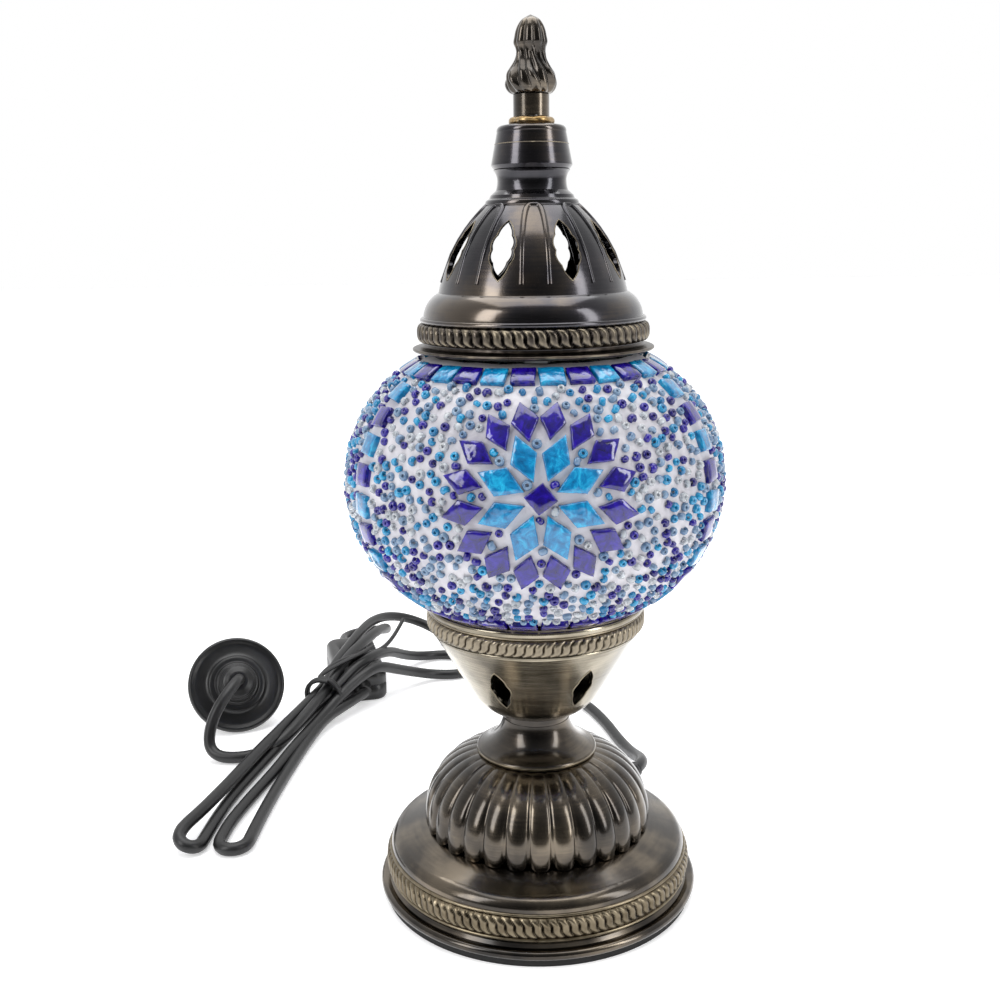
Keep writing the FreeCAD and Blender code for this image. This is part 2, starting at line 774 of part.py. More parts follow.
ring("stem_tube", s.rodHole, s.stemRadius, s.stemCollarTop, s.stemTop)
spun(
    "finial",
    (0, s.stemTop),
    (s.finialBulbRadius - 2.6, s.stemTop),
    (s.finialBulbRadius, s.finialBulbHeight, s.finialWaistRadius, s.finialWaistHeight),
    (s.finialBudRadius, s.finialBudHeight, 0.9, s.finialTop - 0.4),
    (0, s.finialTop),
)
ring("cap_rod", 0, s.rodRadius, s.rodBottom, s.stemTop)
capSeat = s.capNeckTop - thick
ring("cap_washer", s.rodHole, s.capNeckRadius - thick - 1.4, capSeat - s.washerHeight, capSeat)
hexagon_nut("cap_nut", s.capNutWidth, capSeat - s.washerHeight - s.capNutHeight, s.capNutHeight, s.rodRadius)

# Spring legs: three strips under the rim ring that grip inside the globe's upper mouth
springInner = s.springRadius.number - s.springThickness.number
springFoot = s.springBottom.number
springTop = s.capRingTop.number
springCorner = Vector(springInner, -s.springWidth.number / 2, springFoot)
leg = Part.makeBox(s.springThickness.number, s.springWidth.number, springTop - springFoot, springCorner)
springCorner.z = springTop
tabLength = s.capWallRadius.number - thick.number - 0.4 - springInner
tab = Part.makeBox(tabLength, s.springWidth.number, s.springThickness.number, springCorner)
bent = leg.fuse(tab).removeSplitter()


def around(shape, count, first):
    """Copies of a shape, evenly spaced about the lamp's axis."""
    copies = []
    for index in range(count):
        copy = shape.copy()
        copy.rotate(Vector(), up, first + fullTurn / count * index)
        copies.append(copy)
    return copies


springs = int(s.springCount.number)
firstSpring = 30
code_shape("cap_spring_legs", Part.makeCompound(around(bent, springs, firstSpring)))
rivet = Part.makeCylinder(1.1, 1.2, Vector(springInner + 2.4, 0, springTop + s.springThickness.number))
code_shape("spring_rivets", Part.makeCompound(around(rivet, springs, firstSpring)))

# Inline switch, made about its own middle with its length along Y, then laid on the floor behind the hank
switchPlace = Placement(Vector(-90, 199, 0), Rotation(up, 14))


def rounded_box(width, length, corner):
    """Outline of a box with round corners, centred on the origin."""
    x, y, r = width * 0.5, length * 0.5, corner
    slant = r * round(1 - math.sqrt(0.5), 5)
    return [
        (-x + r, -y),
        (x - r, -y),
        (x - slant, -y + slant, x, -y + r),
        (x, y - r),
        (x - slant, y - slant, x - r, y),
        (-x + r, y),
        (-x + slant, y - slant, -x, y - r),
        (-x, -y + r),
        (-x + slant, -y + slant, -x + r, -y),
    ]


shellOutline = rounded_box(s.switchWidth, s.switchLength, s.switchCorner)
wall = s.switchWall
roomOutline = rounded_box(s.switchWidth - wall * 2, s.switchLength - wall * 2, s.switchCorner - wall)
switchBase = padded_body("switch_base_shell", "XY_Plane", 0, s.switchSplit, shellOutline)
pocket(switchBase, "switch_base_room", wall, s.switchSplit, roomOutline)
finish(switchBase, "switch_base").Placement = switchPlace

switchCover = padded_body("switch_cover_shell", "XY_Plane", s.switchSplit, s.switchTop - s.switchSplit, shellOutline)
pocket(switchCover, "switch_cover_room", s.switchSplit - 1, s.switchTop - s.switchSplit - wall + 1, roomOutline)
rockerHole = rounded_box(s.rockerWidth + s.rockerGap * 2, s.rockerLength + s.rockerGap * 2, Length("1.0", 1.0))
pocket(switchCover, "rocker_opening", s.switchSplit, s.switchTop, rockerHole)
finish(switchCover, "switch_cover").Placement = switchPlace

# The rocker is a shallow V, drawn in the plane across its hinge and tilted to its off position.
rockerHalf = s.rockerLength * 0.5
rockerOutline = [
    (-rockerHalf, -1.4),
    (-2.4, -3.4),
    (2.4, -3.4),
    (rockerHalf, -1.4),
    (rockerHalf, 4.6),
    (0, 3.4, -rockerHalf, 4.6),
]
rocker = padded_body("rocker_solid", "YZ_Plane", 0, s.rockerWidth, rockerOutline, True)
pivotLength = s.rockerWidth + 1
pivotEnd = Vector(-pivotLength.number / 2, 0, 0)
pivot = cylinder("rocker_pivot", s.rockerPivotRadius, pivotLength, pivotEnd, Vector(1, 0, 0))
pivoted = fuse("rocker_with_pivot", rocker, pivot)
rockerRest = Placement(Vector(0, 0, s.rockerPivot.number), Rotation(Vector(1, 0, 0), -s.rockerTilt.number))
finish(pivoted, "switch_rocker").Placement = switchPlace.multiply(rockerRest)

endFace = s.switchLength.number / 2
glands = [
    cone(
        f"gland_{name}",
        s.cordRadius + 1.6,
        s.cordRadius + 0.7,
        s.switchGland,
        switchPlace.multVec(Vector(0, sign * endFace, s.switchSplit.number)),
        switchPlace.Rotation.multVec(Vector(0, sign, 0)),
    )
    for name, sign in (("near", -1), ("far", 1))
]
finish(fuse("switch_glands_solid", *glands), "switch_glands")
screws = [
    cylinder(f"switch_screw_{index}", 1.5, 9, switchPlace.multVec(Vector(x, y, wall.number)))
    for index, (x, y) in enumerate(((8, -20), (-8, 20)))
]
finish(fuse("switch_screws_solid", *screws), "switch_screws")

# Plug: it lies on the rim of its round flange with its pins down, and the cord leaves the middle of its back
plugTilt = math.radians(30)
plugTurn = math.radians(20)
plugOut = Vector(
    math.cos(plugTilt) * math.sin(plugTurn), -math.cos(plugTilt) * math.cos(plugTurn), math.sin(plugTilt)
)
plugAcross = Vector(math.cos(plugTurn), math.sin(plugTurn), 0)
plugPlace = Placement(Vector(-141, 144.5, 20.7), Rotation(plugAcross, Vector(), plugOut, "ZXY"))
plug = spun(
    "plug_body",
    (0, -s.plugBodyLength),
    (s.plugBodyTip - 1.5, -s.plugBodyLength),
    (s.plugBodyTip, -s.plugBodyLength + 1.5),
    (s.plugBodyRadius, -s.plugRim),
    (s.plugRadius - 0.8, -s.plugRim),
    (s.plugRadius, 0, s.plugRadius - 0.8, s.plugRim),
    (s.plugBossRadius + 5, s.plugRim + 1),
    (s.plugBossRadius, s.plugRim + 3),
    (s.plugBossRadius - 1, s.plugBossLength - 1),
    (s.cordRadius + 1.5, s.plugBossLength),
    (0, s.plugBossLength),
)
plug.Placement = plugPlace
pinFoot = -s.plugBodyLength.number - s.pinLength.number
pins = [
    cylinder(
        f"plug_pin_{name}",
        s.pinRadius,
        s.pinLength,
        plugPlace.multVec(Vector(sign * s.pinSpacing.number / 2, 0, pinFoot)),
        plugOut,
    )
    for name, sign in (("left", -1), ("right", 1))
]
finish(fuse("plug_pins_solid", *pins), "plug_pins")

# The free cord. From the lamp it runs over the floor and over the switch into a tied hank. The hank's
# two long loops are one solid. A loop on the floor, the switch and the plug's tail leave it as tubes.
cordRadius = s.cordRadius.number
bushEnd = exitAt + outward * (s.bushReach.number + 0.05)
leadRoute = [
    bushEnd,
    (47.0, 79.0, 8.6),
    (45.5, 96.0, 4.4),
    (41.5, 114.0, 2.8),
    (37.5, 134.0, 2.7),
    (30.0, 157.0, 2.7),
    (15.5, 181.0, 2.7),
    (-4.0, 205.0, 2.7),
    (-24.0, 228.0, 2.8),
    (-39.0, 247.0, 4.0),
    (-52.0, 261.0, 9.0),
    (-67.0, 261.0, 15.5),
    (-78.5, 249.0, 20.5),
    (-85.0, 232.0, 22.8),
    (-89.0, 211.0, 23.2),
    (-93.0, 190.0, 22.0),
    (-97.0, 172.0, 20.2),
    (-99.0, 158.0, 15.4),
]
tube("cord_lead", leadRoute, cordRadius)

loopRoute = [
    (-94.6, 156.0, 13.2),
    (-86.0, 166.0, 20.6),
    (-78.0, 178.5, 22.4),
    (-71.0, 197.0, 18.0),
    (-65.5, 215.0, 9.0),
    (-57.0, 228.0, 3.4),
    (-43.0, 233.0, 2.7),
    (-29.0, 226.0, 2.7),
    (-25.0, 212.0, 2.7),
    (-34.0, 201.0, 2.7),
    (-48.0, 200.0, 3.2),
    (-58.0, 194.0, 7.0),
    (-66.5, 182.0, 13.4),
    (-75.0, 168.5, 20.4),
    (-84.0, 158.5, 17.4),
    (-93.0, 150.0, 10.6),
]
tube("cord_loop", loopRoute, cordRadius)

nearGland = switchPlace.multVec(Vector(0, -endFace - s.switchGland.number, s.switchSplit.number))
farGland = switchPlace.multVec(Vector(0, endFace + s.switchGland.number, s.switchSplit.number))
feedRoute = [
    (-97.5, 143.0, 6.0),
    (-88.5, 151.5, 6.8),
    nearGland,
]
tube("cord_switch_feed", feedRoute, cordRadius)

returnRoute = [
    farGland,
    (-103.5, 249.0, 6.0),
    (-102.5, 263.0, 4.4),
    (-92.0, 270.0, 4.8),
    (-81.0, 263.0, 7.6),
    (-77.5, 249.5, 12.4),
    (-77.0, 234.0, 18.6),
    (-80.0, 217.0, 22.4),
    (-84.5, 199.0, 23.0),
    (-90.0, 181.0, 22.4),
    (-94.0, 166.0, 20.2),
    (-97.5, 151.0, 13.0),
]
tube("cord_switch_return", returnRoute, cordRadius)

plugBack = plugPlace.multVec(Vector(0, 0, s.plugBossLength.number))
tailRoute = [
    plugBack,
    plugBack + plugOut * 9,
    (-137.5, 117.5, 29.0),
    (-142.0, 110.5, 23.0),
    (-145.5, 107.5, 14.5),
    (-146.0, 104.5, 6.5),
    (-141.0, 101.0, 2.9),
    (-131.5, 100.0, 2.8),
    (-122.0, 102.0, 3.6),
    (-113.5, 108.5, 5.6),
]
tube("cord_tail", tailRoute, cordRadius)

hankFoot = Vector(-129.5, 14.5, 0)
hankHead = Vector(-97.5, 161.5, 0)
hankRun = hankHead - hankFoot
hank = doc.addObject("Part::Wedge", "hank_wedge")
hank.Ymin, hank.Ymax = 0, hankRun.Length
bind(
    hank,
    Xmin=-s.hankFootWidth * 0.5,
    Xmax=s.hankFootWidth * 0.5,
    Zmin=0,
    Zmax=s.hankFootHeight,
    X2min=-s.hankHeadWidth * 0.5,
    X2max=s.hankHeadWidth * 0.5,
    Z2min=s.hankHeadLow,
    Z2max=s.hankHeadTop,
)
hank.Placement = Placement(hankFoot, Rotation(Vector(0, 1, 0), hankRun))
finish(hank, "cord_hank")

# Twist tie: a ring around the head of the hank
tie = doc.addObject("Part::Torus", "tie_ring")
bind(tie, Radius1=s.tieRing, Radius2=s.tieWire)
tie.Placement = Placement(hankFoot + hankRun * 0.93 + up * 11.5, Rotation(up, hankRun))
finish(tie, "cord_tie")

# Every object is checked, then each piece is written to its own file.
doc.recompute()
for item in doc.Objects:
    if "Invalid" in item.State or "Error" in item.State:
        raise RuntimeError(f"{item.Name} did not compute")
os.makedirs("parts", exist_ok=True)
for item in finished:
    shape = item.Shape
    if shape.isNull() or not shape.isValid() or not shape.Solids:
        raise RuntimeError(f"{item.Label} has no valid solid")
    box = shape.BoundBox
    extent = " ".join(f"{v:.1f}" for v in (box.XMin, box.XMax, box.YMin, box.YMax, box.ZMin, box.ZMax))
    print(f"{item.Label}: {len(shape.Solids)} solids, {shape.Volume:.0f} cubic mm, {extent}")
    shape.exportStep(f"parts/{item.Label}.step")
print(f"{len(finished)} pieces written")
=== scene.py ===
import math
import random
import bpy
from mathutils import Matrix, Vector


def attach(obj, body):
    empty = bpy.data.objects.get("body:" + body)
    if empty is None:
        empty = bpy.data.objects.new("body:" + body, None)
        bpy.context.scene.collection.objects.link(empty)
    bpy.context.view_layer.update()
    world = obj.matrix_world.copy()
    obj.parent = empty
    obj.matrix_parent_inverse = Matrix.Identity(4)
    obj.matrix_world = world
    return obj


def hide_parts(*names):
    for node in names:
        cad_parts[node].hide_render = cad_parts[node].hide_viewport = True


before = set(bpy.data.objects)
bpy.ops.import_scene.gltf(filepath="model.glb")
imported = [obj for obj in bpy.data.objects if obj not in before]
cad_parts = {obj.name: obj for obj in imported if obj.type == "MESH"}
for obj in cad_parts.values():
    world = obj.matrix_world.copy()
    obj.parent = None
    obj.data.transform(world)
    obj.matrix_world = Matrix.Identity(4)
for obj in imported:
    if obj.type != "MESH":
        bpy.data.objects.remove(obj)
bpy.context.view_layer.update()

mm = 0.001
fullTurn = 2 * math.pi
chance = random.Random(11)


# Camera, a short way in front of the lamp and a little above it
cameraView = {"lens": 42.44, "place": (-0.0118, -0.3954, 0.2306), "tilt": 77.47, "roll": -0.82}
camera = bpy.data.objects.new("camera", bpy.data.cameras.new("camera"))
camera.data.lens = cameraView["lens"]
camera.data.clip_start = 0.01
camera.matrix_world = (
    Matrix.Translation(cameraView["place"])
    @ Matrix.Rotation(math.radians(cameraView["tilt"]), 4, "X")
    @ Matrix.Rotation(math.radians(cameraView["roll"]), 4, "Z")
)
bpy.context.scene.collection.objects.link(camera)
bpy.context.scene.camera = camera


# Materials
def linear(hexColour):
    values = []
    for start in (1, 3, 5):
        c = int(hexColour[start:start + 2], 16) / 255
        values.append(c / 12.92 if c <= 0.04045 else ((c + 0.055) / 1.055) ** 2.4)
    return (*values, 1)


def addNode(tree, kind, links=None, values=None, **settings):
    node = tree.nodes.new("ShaderNode" + kind)
    for name, value in settings.items():
        setattr(node, name, value)
    for name, value in (values or {}).items():
        node.inputs[name].default_value = value
    for name, output in (links or {}).items():
        tree.links.new(output, node.inputs[name])
    return node


def colourRamp(tree, factor, stops):
    ramp = addNode(tree, "ValToRGB", {"Fac": factor})
    while len(ramp.color_ramp.elements) < len(stops):
        ramp.color_ramp.elements.new(0.5)
    for element, (position, colour) in zip(ramp.color_ramp.elements, stops):
        element.position = position
        element.color = linear(colour)
    return ramp.outputs["Color"]


def span(tree, value, low, high):
    return addNode(tree, "MapRange", {"Value": value}, {"To Min": low, "To Max": high}).outputs["Result"]


def newMaterial(name, **values):
    material = bpy.data.materials.new(name)
    material.use_nodes = True
    tree = material.node_tree
    shader = tree.nodes["Principled BSDF"]
    for key, value in values.items():
        shader.inputs[key.replace("_", " ")].default_value = value
    place = addNode(tree, "TexCoord").outputs["Object"]
    return material, tree, shader, place


def stretched(tree, place, scale):
    return addNode(tree, "Mapping", {"Vector": place}, {"Scale": scale}).outputs["Vector"]


def relief(tree, shader, height, strength, depth):
    bump = addNode(tree, "Bump", {"Height": height}, {"Strength": strength, "Distance": depth})
    tree.links.new(bump.outputs["Normal"], shader.inputs["Normal"])


# Spun and chemically darkened metal under clear lacquer: near-black with brown bloom, fine lathe rings,
# and patches where the polish is duller
def spunMetal(name, dark, middle, bright, roughLow, roughHigh, lacquer, ringShow):
    material, tree, shader, place = newMaterial(name, Metallic=1.0, Coat_Weight=lacquer, Coat_Roughness=0.12)
    patches = addNode(tree, "TexNoise", {"Vector": place}, {"Scale": 45.0, "Detail": 5.0})
    turning = stretched(tree, place, (1, 1, 40))
    rings = addNode(tree, "TexNoise", {"Vector": turning}, {"Scale": 55.0, "Detail": 4.0})
    faint = addNode(tree, "Math", {0: rings.outputs["Fac"]}, {1: ringShow}, operation="MULTIPLY").outputs[0]
    both = addNode(tree, "Math", {0: patches.outputs["Fac"], 1: faint}, operation="ADD").outputs[0]
    middleAt = 0.5 + ringShow / 2
    stops = [(middleAt - 0.15, dark), (middleAt, middle), (middleAt + 0.16, bright)]
    tree.links.new(colourRamp(tree, both, stops), shader.inputs["Base Color"])
    tree.links.new(span(tree, rings.outputs["Fac"], roughLow, roughHigh), shader.inputs["Roughness"])
    # Lathe marks about 0.35 mm apart, drawn a little coarser than real ones so that they show
    relief(tree, shader, rings.outputs["Fac"], 0.3 * ringShow, 0.0001)
    return material


# The blackened finish of the cap and foot, with the cool cast of oxidised steel
capMetal = spunMetal("oxidisedSteelSpun", "#232328", "#38363a", "#5a5148", 0.15, 0.25, 0.6, 0.16)
footMetal = spunMetal("antiqueBronzeSpun", "#25221f", "#413b34", "#6d6355", 0.16, 0.28, 0.55, 0.16)
# The bowl's pale nickel-bronze, polished thinner over the raised places
bowlMetal = spunMetal("antiqueNickelSpun", "#5f584b", "#8b8372", "#b3aa97", 0.14, 0.26, 0.4, 0.3)


# Pressed rope trim: darker where the surface curves inward and lighter on the sharpest ridges, following the mesh's
# curvature
def pressedTrim(name, groove, ridge):
    material, tree, shader, place = newMaterial(name, Metallic=1.0)
    worn = addNode(tree, "NewGeometry").outputs["Pointiness"]
    grime = addNode(tree, "TexNoise", {"Vector": place}, {"Scale": 260.0, "Detail": 4.0})
    mixed = addNode(tree, "Math", {0: grime.outputs["Fac"]}, {1: 0.12}, operation="MULTIPLY").outputs[0]
    sunk = addNode(tree, "Math", {0: worn, 1: mixed}, operation="ADD").outputs[0]
    stops = [(0.51, groove), (0.57, ridge), (0.66, "#a0957f")]
    tree.links.new(colourRamp(tree, sunk, stops), shader.inputs["Base Color"])
    tree.links.new(span(tree, grime.outputs["Fac"], 0.2, 0.42), shader.inputs["Roughness"])
    relief(tree, shader, grime.outputs["Fac"], 0.15, 0.0001)
    return material


footTrim = pressedTrim("antiqueBronzePressed", "#15110d", "#6a604f")
capTrim = pressedTrim("oxidisedSteelPressed", "#0f0d0d", "#4c4641")
bowlTrim = pressedTrim("antiqueNickelPressed", "#2a241c", "#82796a")
brassWire = pressedTrim("agedBrassTwisted", "#4a3a22", "#b08c52")


# Hand-cut art glass with a hammered back: the colour pools darker and lighter across each piece
def artGlass(name, deep, body, light, hammer):
    material, tree, shader, place = newMaterial(
        name, Roughness=0.09, IOR=1.52, Coat_Weight=0.6, Coat_Roughness=0.04
    )
    streaks = addNode(
        tree, "TexNoise", {"Vector": place}, {"Scale": 240.0, "Detail": 5.0, "Roughness": 0.65, "Distortion": 1.3}
    )
    stops = [(0.3, deep), (0.5, body), (0.72, light)]
    tree.links.new(colourRamp(tree, streaks.outputs["Fac"], stops), shader.inputs["Base Color"])
    dimples = addNode(tree, "TexVoronoi", {"Vector": place}, {"Scale": 620.0}, feature="SMOOTH_F1")
    relief(tree, shader, dimples.outputs["Distance"], hammer, 0.0004)
    return material


cobaltTile = artGlass("cobaltGlassCut", "#0a0234", "#170674", "#2c14a4", 0.2)
turquoiseTile = artGlass("turquoiseGlassHammered", "#034a78", "#0877ac", "#27b2dc", 0.6)


# Moulded seed beads: fire-polished glass, glossy, tinted through
def beadGlass(name, colour, light, clear):
    material, tree, shader, place = newMaterial(
        name, Roughness=0.07, IOR=1.5, Transmission_Weight=clear, Coat_Weight=0.5, Coat_Roughness=0.03
    )
    lots = addNode(tree, "TexNoise", {"Vector": place}, {"Scale": 160.0, "Detail": 2.0})
    tree.links.new(
        colourRamp(tree, lots.outputs["Fac"], [(0.35, colour), (0.65, light)]), shader.inputs["Base Color"]
    )
    relief(tree, shader, lots.outputs["Fac"], 0.1, 0.0002)
    return material


beadKinds = {
    "cobalt": (beadGlass("cobaltGlassBead", "#0f0660", "#22128c", 0.0), 0.29),
    "turquoise": (beadGlass("turquoiseGlassBead", "#07679c", "#1f9ccc", 0.1), 0.26),
    "steelBlue": (beadGlass("steelBlueGlassBead", "#5c7fa6", "#8fabc6", 0.25), 0.25),
    "clear": (beadGlass("clearGlassBead", "#c4ccd4", "#e4e8ec", 0.5), 0.2),
}

# White cement grout, wiped by hand: matt, a little uneven, sand grains of about 0.3 mm
grout, tree, shader, place = newMaterial("cementGroutWiped", Roughness=0.85)
sand = addNode(tree, "TexNoise", {"Vector": place}, {"Scale": 900.0, "Detail": 4.0})
smear = addNode(tree, "TexNoise", {"Vector": place}, {"Scale": 60.0, "Detail": 3.0})
tree.links.new(
    colourRamp(tree, smear.outputs["Fac"], [(0.3, "#b9b7be"), (0.6, "#d2d0d5")]), shader.inputs["Base Color"]
)
relief(tree, shader, sand.outputs["Fac"], 0.4, 0.0003)

# Blown clear glass of the globe
blownGlass, tree, shader, place = newMaterial(
    "sodaGlassBlown", Roughness=0.04, IOR=1.5, Transmission_Weight=0.9
)
seeds = addNode(tree, "TexNoise", {"Vector": place}, {"Scale": 40.0})
tree.links.new(
    colourRamp(tree, seeds.outputs["Fac"], [(0.3, "#e4f0ee"), (0.7, "#f6fbfa")]), shader.inputs["Base Color"]
)
relief(tree, shader, seeds.outputs["Fac"], 0.1, 0.0004)


# Moulded plastics and rubber: a fine spark-eroded texture, scuffs in the gloss
def moulded(name, colour, worn, roughLow, roughHigh, grain, depth):
    material, tree, shader, place = newMaterial(name, IOR=1.5)
    fine = addNode(tree, "TexNoise", {"Vector": place}, {"Scale": 1000 / grain, "Detail": 3.0})
    broad = addNode(tree, "TexNoise", {"Vector": place}, {"Scale": 90.0, "Detail": 4.0})
    tree.links.new(
        colourRamp(tree, broad.outputs["Fac"], [(0.35, colour), (0.7, worn)]), shader.inputs["Base Color"]
    )
    tree.links.new(span(tree, broad.outputs["Fac"], roughLow, roughHigh), shader.inputs["Roughness"])
    relief(tree, shader, fine.outputs["Fac"], 0.25, depth)
    return material


plastic = moulded("absMoulded", "#070708", "#0e0e10", 0.26, 0.42, 0.45, 0.00008)
cable = moulded("pvcSheathExtruded", "#09090a", "#131315", 0.32, 0.48, 0.8, 0.0001)
rubber = moulded("evaFoamCut", "#121212", "#232323", 0.7, 0.9, 0.6, 0.0002)
zinc = spunMetal("zincPlatedSteel", "#8f9092", "#a9aaac", "#c6c7c9", 0.25, 0.4, 0.0, 0.3)
nickel = spunMetal("nickelPlatedBrass", "#b5ada0", "#cbc3b6", "#ddd6ca", 0.14, 0.26, 0.0, 0.3)
brass = spunMetal("brassPressed", "#9c7a3c", "#b8944e", "#d3b169", 0.2, 0.34, 0.0, 0.3)
frosted = moulded("frostedGlassBlown", "#e6e7e4", "#f7f7f4", 0.35, 0.5, 0.5, 0.00005)
print("materials made")

finishes = {
    capMetal: ("cap_dome", "cap_cup", "cap_rim_ring"),
    footMetal: ("base_foot", "neck_cone", "neck_collar", "bottom_plate", "stem_tube"),
    bowlMetal: ("bowl",),
    zinc: (
        "threaded_pipe", "base_washer", "base_nut", "bowl_washer", "bowl_nut", "cap_rod", "cap_washer",
        "cap_nut", "cap_spring_legs", "spring_rivets", "switch_screws",
    ),
    nickel: ("bulb_cap", "plug_pins"),
    brass: ("holder_screw_shell", "holder_contact"),
    plastic: ("holder_cap", "holder_sleeve", "switch_rocker", "switch_glands"),
    rubber: ("base_pad", "globe_gasket"),
    cable: ("inner_cord",),
    frosted: ("bulb_envelope",),
    grout: ("grout_layer",),
    blownGlass: ("globe_glass",),
}
for material, names in finishes.items():
    for name in names:
        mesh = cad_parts[name].data
        mesh.materials.clear()
        mesh.materials.append(material)


# Builders for the pieces made here
def addPiece(name, vertices, faces, body, material, slot, replaced=()):
    mesh = bpy.data.meshes.new(name)
    mesh.from_pydata([tuple(v) for v in vertices], [], faces)
    mesh.materials.append(material)
    mesh.shade_smooth()
    mesh.update()
    piece = bpy.data.objects.new(name, mesh)
    bpy.context.scene.collection.objects.link(piece)
    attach(piece, body)
    if replaced:
        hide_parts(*replaced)
    return piece


# A grid of faces over a surface that closes on itself along its first direction
def wrapped(columns, rows, pointAt):
    vertices = [pointAt(c / columns, r / (rows - 1)) for r in range(rows) for c in range(columns)]
    faces = []
    for r in range(rows - 1):
        for c in range(columns):
            a, b = r * columns + c, r * columns + (c + 1) % columns
            faces.append((a, b, b + columns, a + columns))
    return vertices, faces


def polar(angle, radius, height):
    return Vector((math.cos(angle) * radius, math.sin(angle) * radius, height)) * mm


# A smooth line through (radius, height) pairs
def along(profile, t):
    place = t * (len(profile) - 1)
    i = min(int(place), len(profile) - 2)
    f = place - i
    p0, p1, p2, p3 = (profile[max(0, min(len(profile) - 1, k))] for k in (i - 1, i, i + 1, i + 2))
    return tuple(
        0.5 * (2 * b + (c - a) * f + (2 * a - 5 * b + 4 * c - d) * f * f + (3 * b - a - 3 * c + d) * f ** 3)
        for a, b, c, d in zip(p0, p1, p2, p3)
    )


def radiusAt(profile, height):
    for (r1, z1), (r2, z2) in zip(profile, profile[1:]):
        if z1 <= height <= z2:
            return r1 + (r2 - r1) * (height - z1) / (z2 - z1)
    return profile[-1][0]


# Points of an arc through three (radius, height) pairs
def arcPoints(a, m, b, count):
    (ax, ay), (mx, my), (bx, by) = a, m, b
    d = 2 * (ax * (my - by) + mx * (by - ay) + bx * (ay - my))
    squares = (ax * ax + ay * ay, mx * mx + my * my, bx * bx + by * by)
    cx = (squares[0] * (my - by) + squares[1] * (by - ay) + squares[2] * (ay - my)) / d
    cy = (squares[0] * (bx - mx) + squares[1] * (ax - bx) + squares[2] * (mx - ax)) / d
    angles = [math.atan2(y - cy, x - cx) for x, y in (a, m, b)]
    if not min(angles[0], angles[2]) <= angles[1] <= max(angles[0], angles[2]):
        angles = [angle % fullTurn for angle in angles]
    radius = math.hypot(ax - cx, ay - cy)
    steps = [angles[0] + (angles[2] - angles[0]) * k / (count - 1) for k in range(count)]
    return [(cx + radius * math.cos(t), cy + radius * math.sin(t)) for t in steps]


# Fluted dome: round lobes that meet in sharp seams and end in scallops on the foot
dome = {"lobes": 30, "depth": 2.9, "topDepth": 1.5, "scallop": 1.9, "across": 12, "up": 40}
domeProfile = arcPoints((40.3, 24.7), (36.3, 41.5), (20.5, 51.6), 33)


def domePoint(u, v):
    lobe = (u * dome["lobes"]) % 1 * 2 - 1
    crown = math.sqrt(max(0, 1 - (0.985 * abs(lobe)) ** 2.2))
    radius, height = along(domeProfile, max(0, (v - 0.06) / 0.94))
    start = dome["scallop"] * abs(lobe) ** 3
    foot = 24.7 + start
    height = foot + (height - 24.7) * (51.6 - foot) / 26.9
    depth = dome["depth"] + (dome["topDepth"] - dome["depth"]) * v
    roundEnd = 1 - max(0, 1 - v / 0.09) ** 2
    swell = min(1, 0.42 + 0.58 * roundEnd)
    radius -= depth * (1 - crown) + 1.6 * (1 - swell)
    return polar(u * fullTurn, radius, height)


shape = wrapped(dome["lobes"] * dome["across"], dome["up"], domePoint)
addPiece("flutedDome", *shape, "root", footMetal, "dark_bronze", ["fluted_dome"])
print("fluted dome made")


# Pressed rope bands: slanted strands on a ring, waisted to nothing at both edges
ropeBands = {
    "footRope": {
        "twists": 112, "radius": 53.15, "rise": 1.6, "low": 8.7, "high": 15.9, "lean": 1.5, "body": "root",
        "material": footTrim, "slot": "dark_bronze", "replaced": ["foot_rope_band"],
    },
    "bowlRope": {
        "twists": 78, "radius": 36.9, "rise": 1.2, "low": 98.8, "high": 104.2, "lean": -1.1, "body": "root",
        "material": bowlTrim, "slot": "champagne_metal", "replaced": ["bowl_rope_band"],
    },
    "capRope": {
        "twists": 68, "radius": 36.5, "rise": 2.1, "low": 197.2, "high": 203.6, "lean": 1.0, "body": "cap",
        "material": capTrim, "slot": "dark_bronze", "replaced": ["cap_rope_band"],
    },
}


def makeRope(name, rope):
    def ropePoint(u, v):
        sway = rope["lean"] * (v - 0.5 + 0.16 * math.sin(fullTurn * v))
        strand = (u * rope["twists"] + sway) % 1 * 2 - 1
        hump = max(0, 1 - abs(strand) ** 2.2) ** 0.5
        edge = max(0, 1 - abs(2 * v - 1) ** 3) ** 0.5
        radius = rope["radius"] + rope["rise"] * edge * (0.08 + 0.92 * hump)
        return polar(u * fullTurn, radius, rope["low"] + (rope["high"] - rope["low"]) * v)

    shape = wrapped(rope["twists"] * 10, 15, ropePoint)
    return addPiece(name, *shape, rope["body"], rope["material"], rope["slot"], rope["replaced"])


for name, rope in ropeBands.items():
    makeRope(name, rope)


# Plain turned rings: beads, lips and scribed lines, each a small round section
def makeRing(name, radius, height, thickness, body, material, slot, replaced=(), twist=None):
    def ringPoint(u, v):
        turn = v * fullTurn
        size = thickness
        if twist:
            size *= 0.8 + 0.2 * abs(math.cos(u * math.pi * twist + turn * 0.5))
        return polar(u * fullTurn, radius + size * math.cos(turn), height + size * math.sin(turn))

    columns = 480 if twist else 240
    return addPiece(name, *wrapped(columns, 13, ringPoint), body, material, slot, replaced)


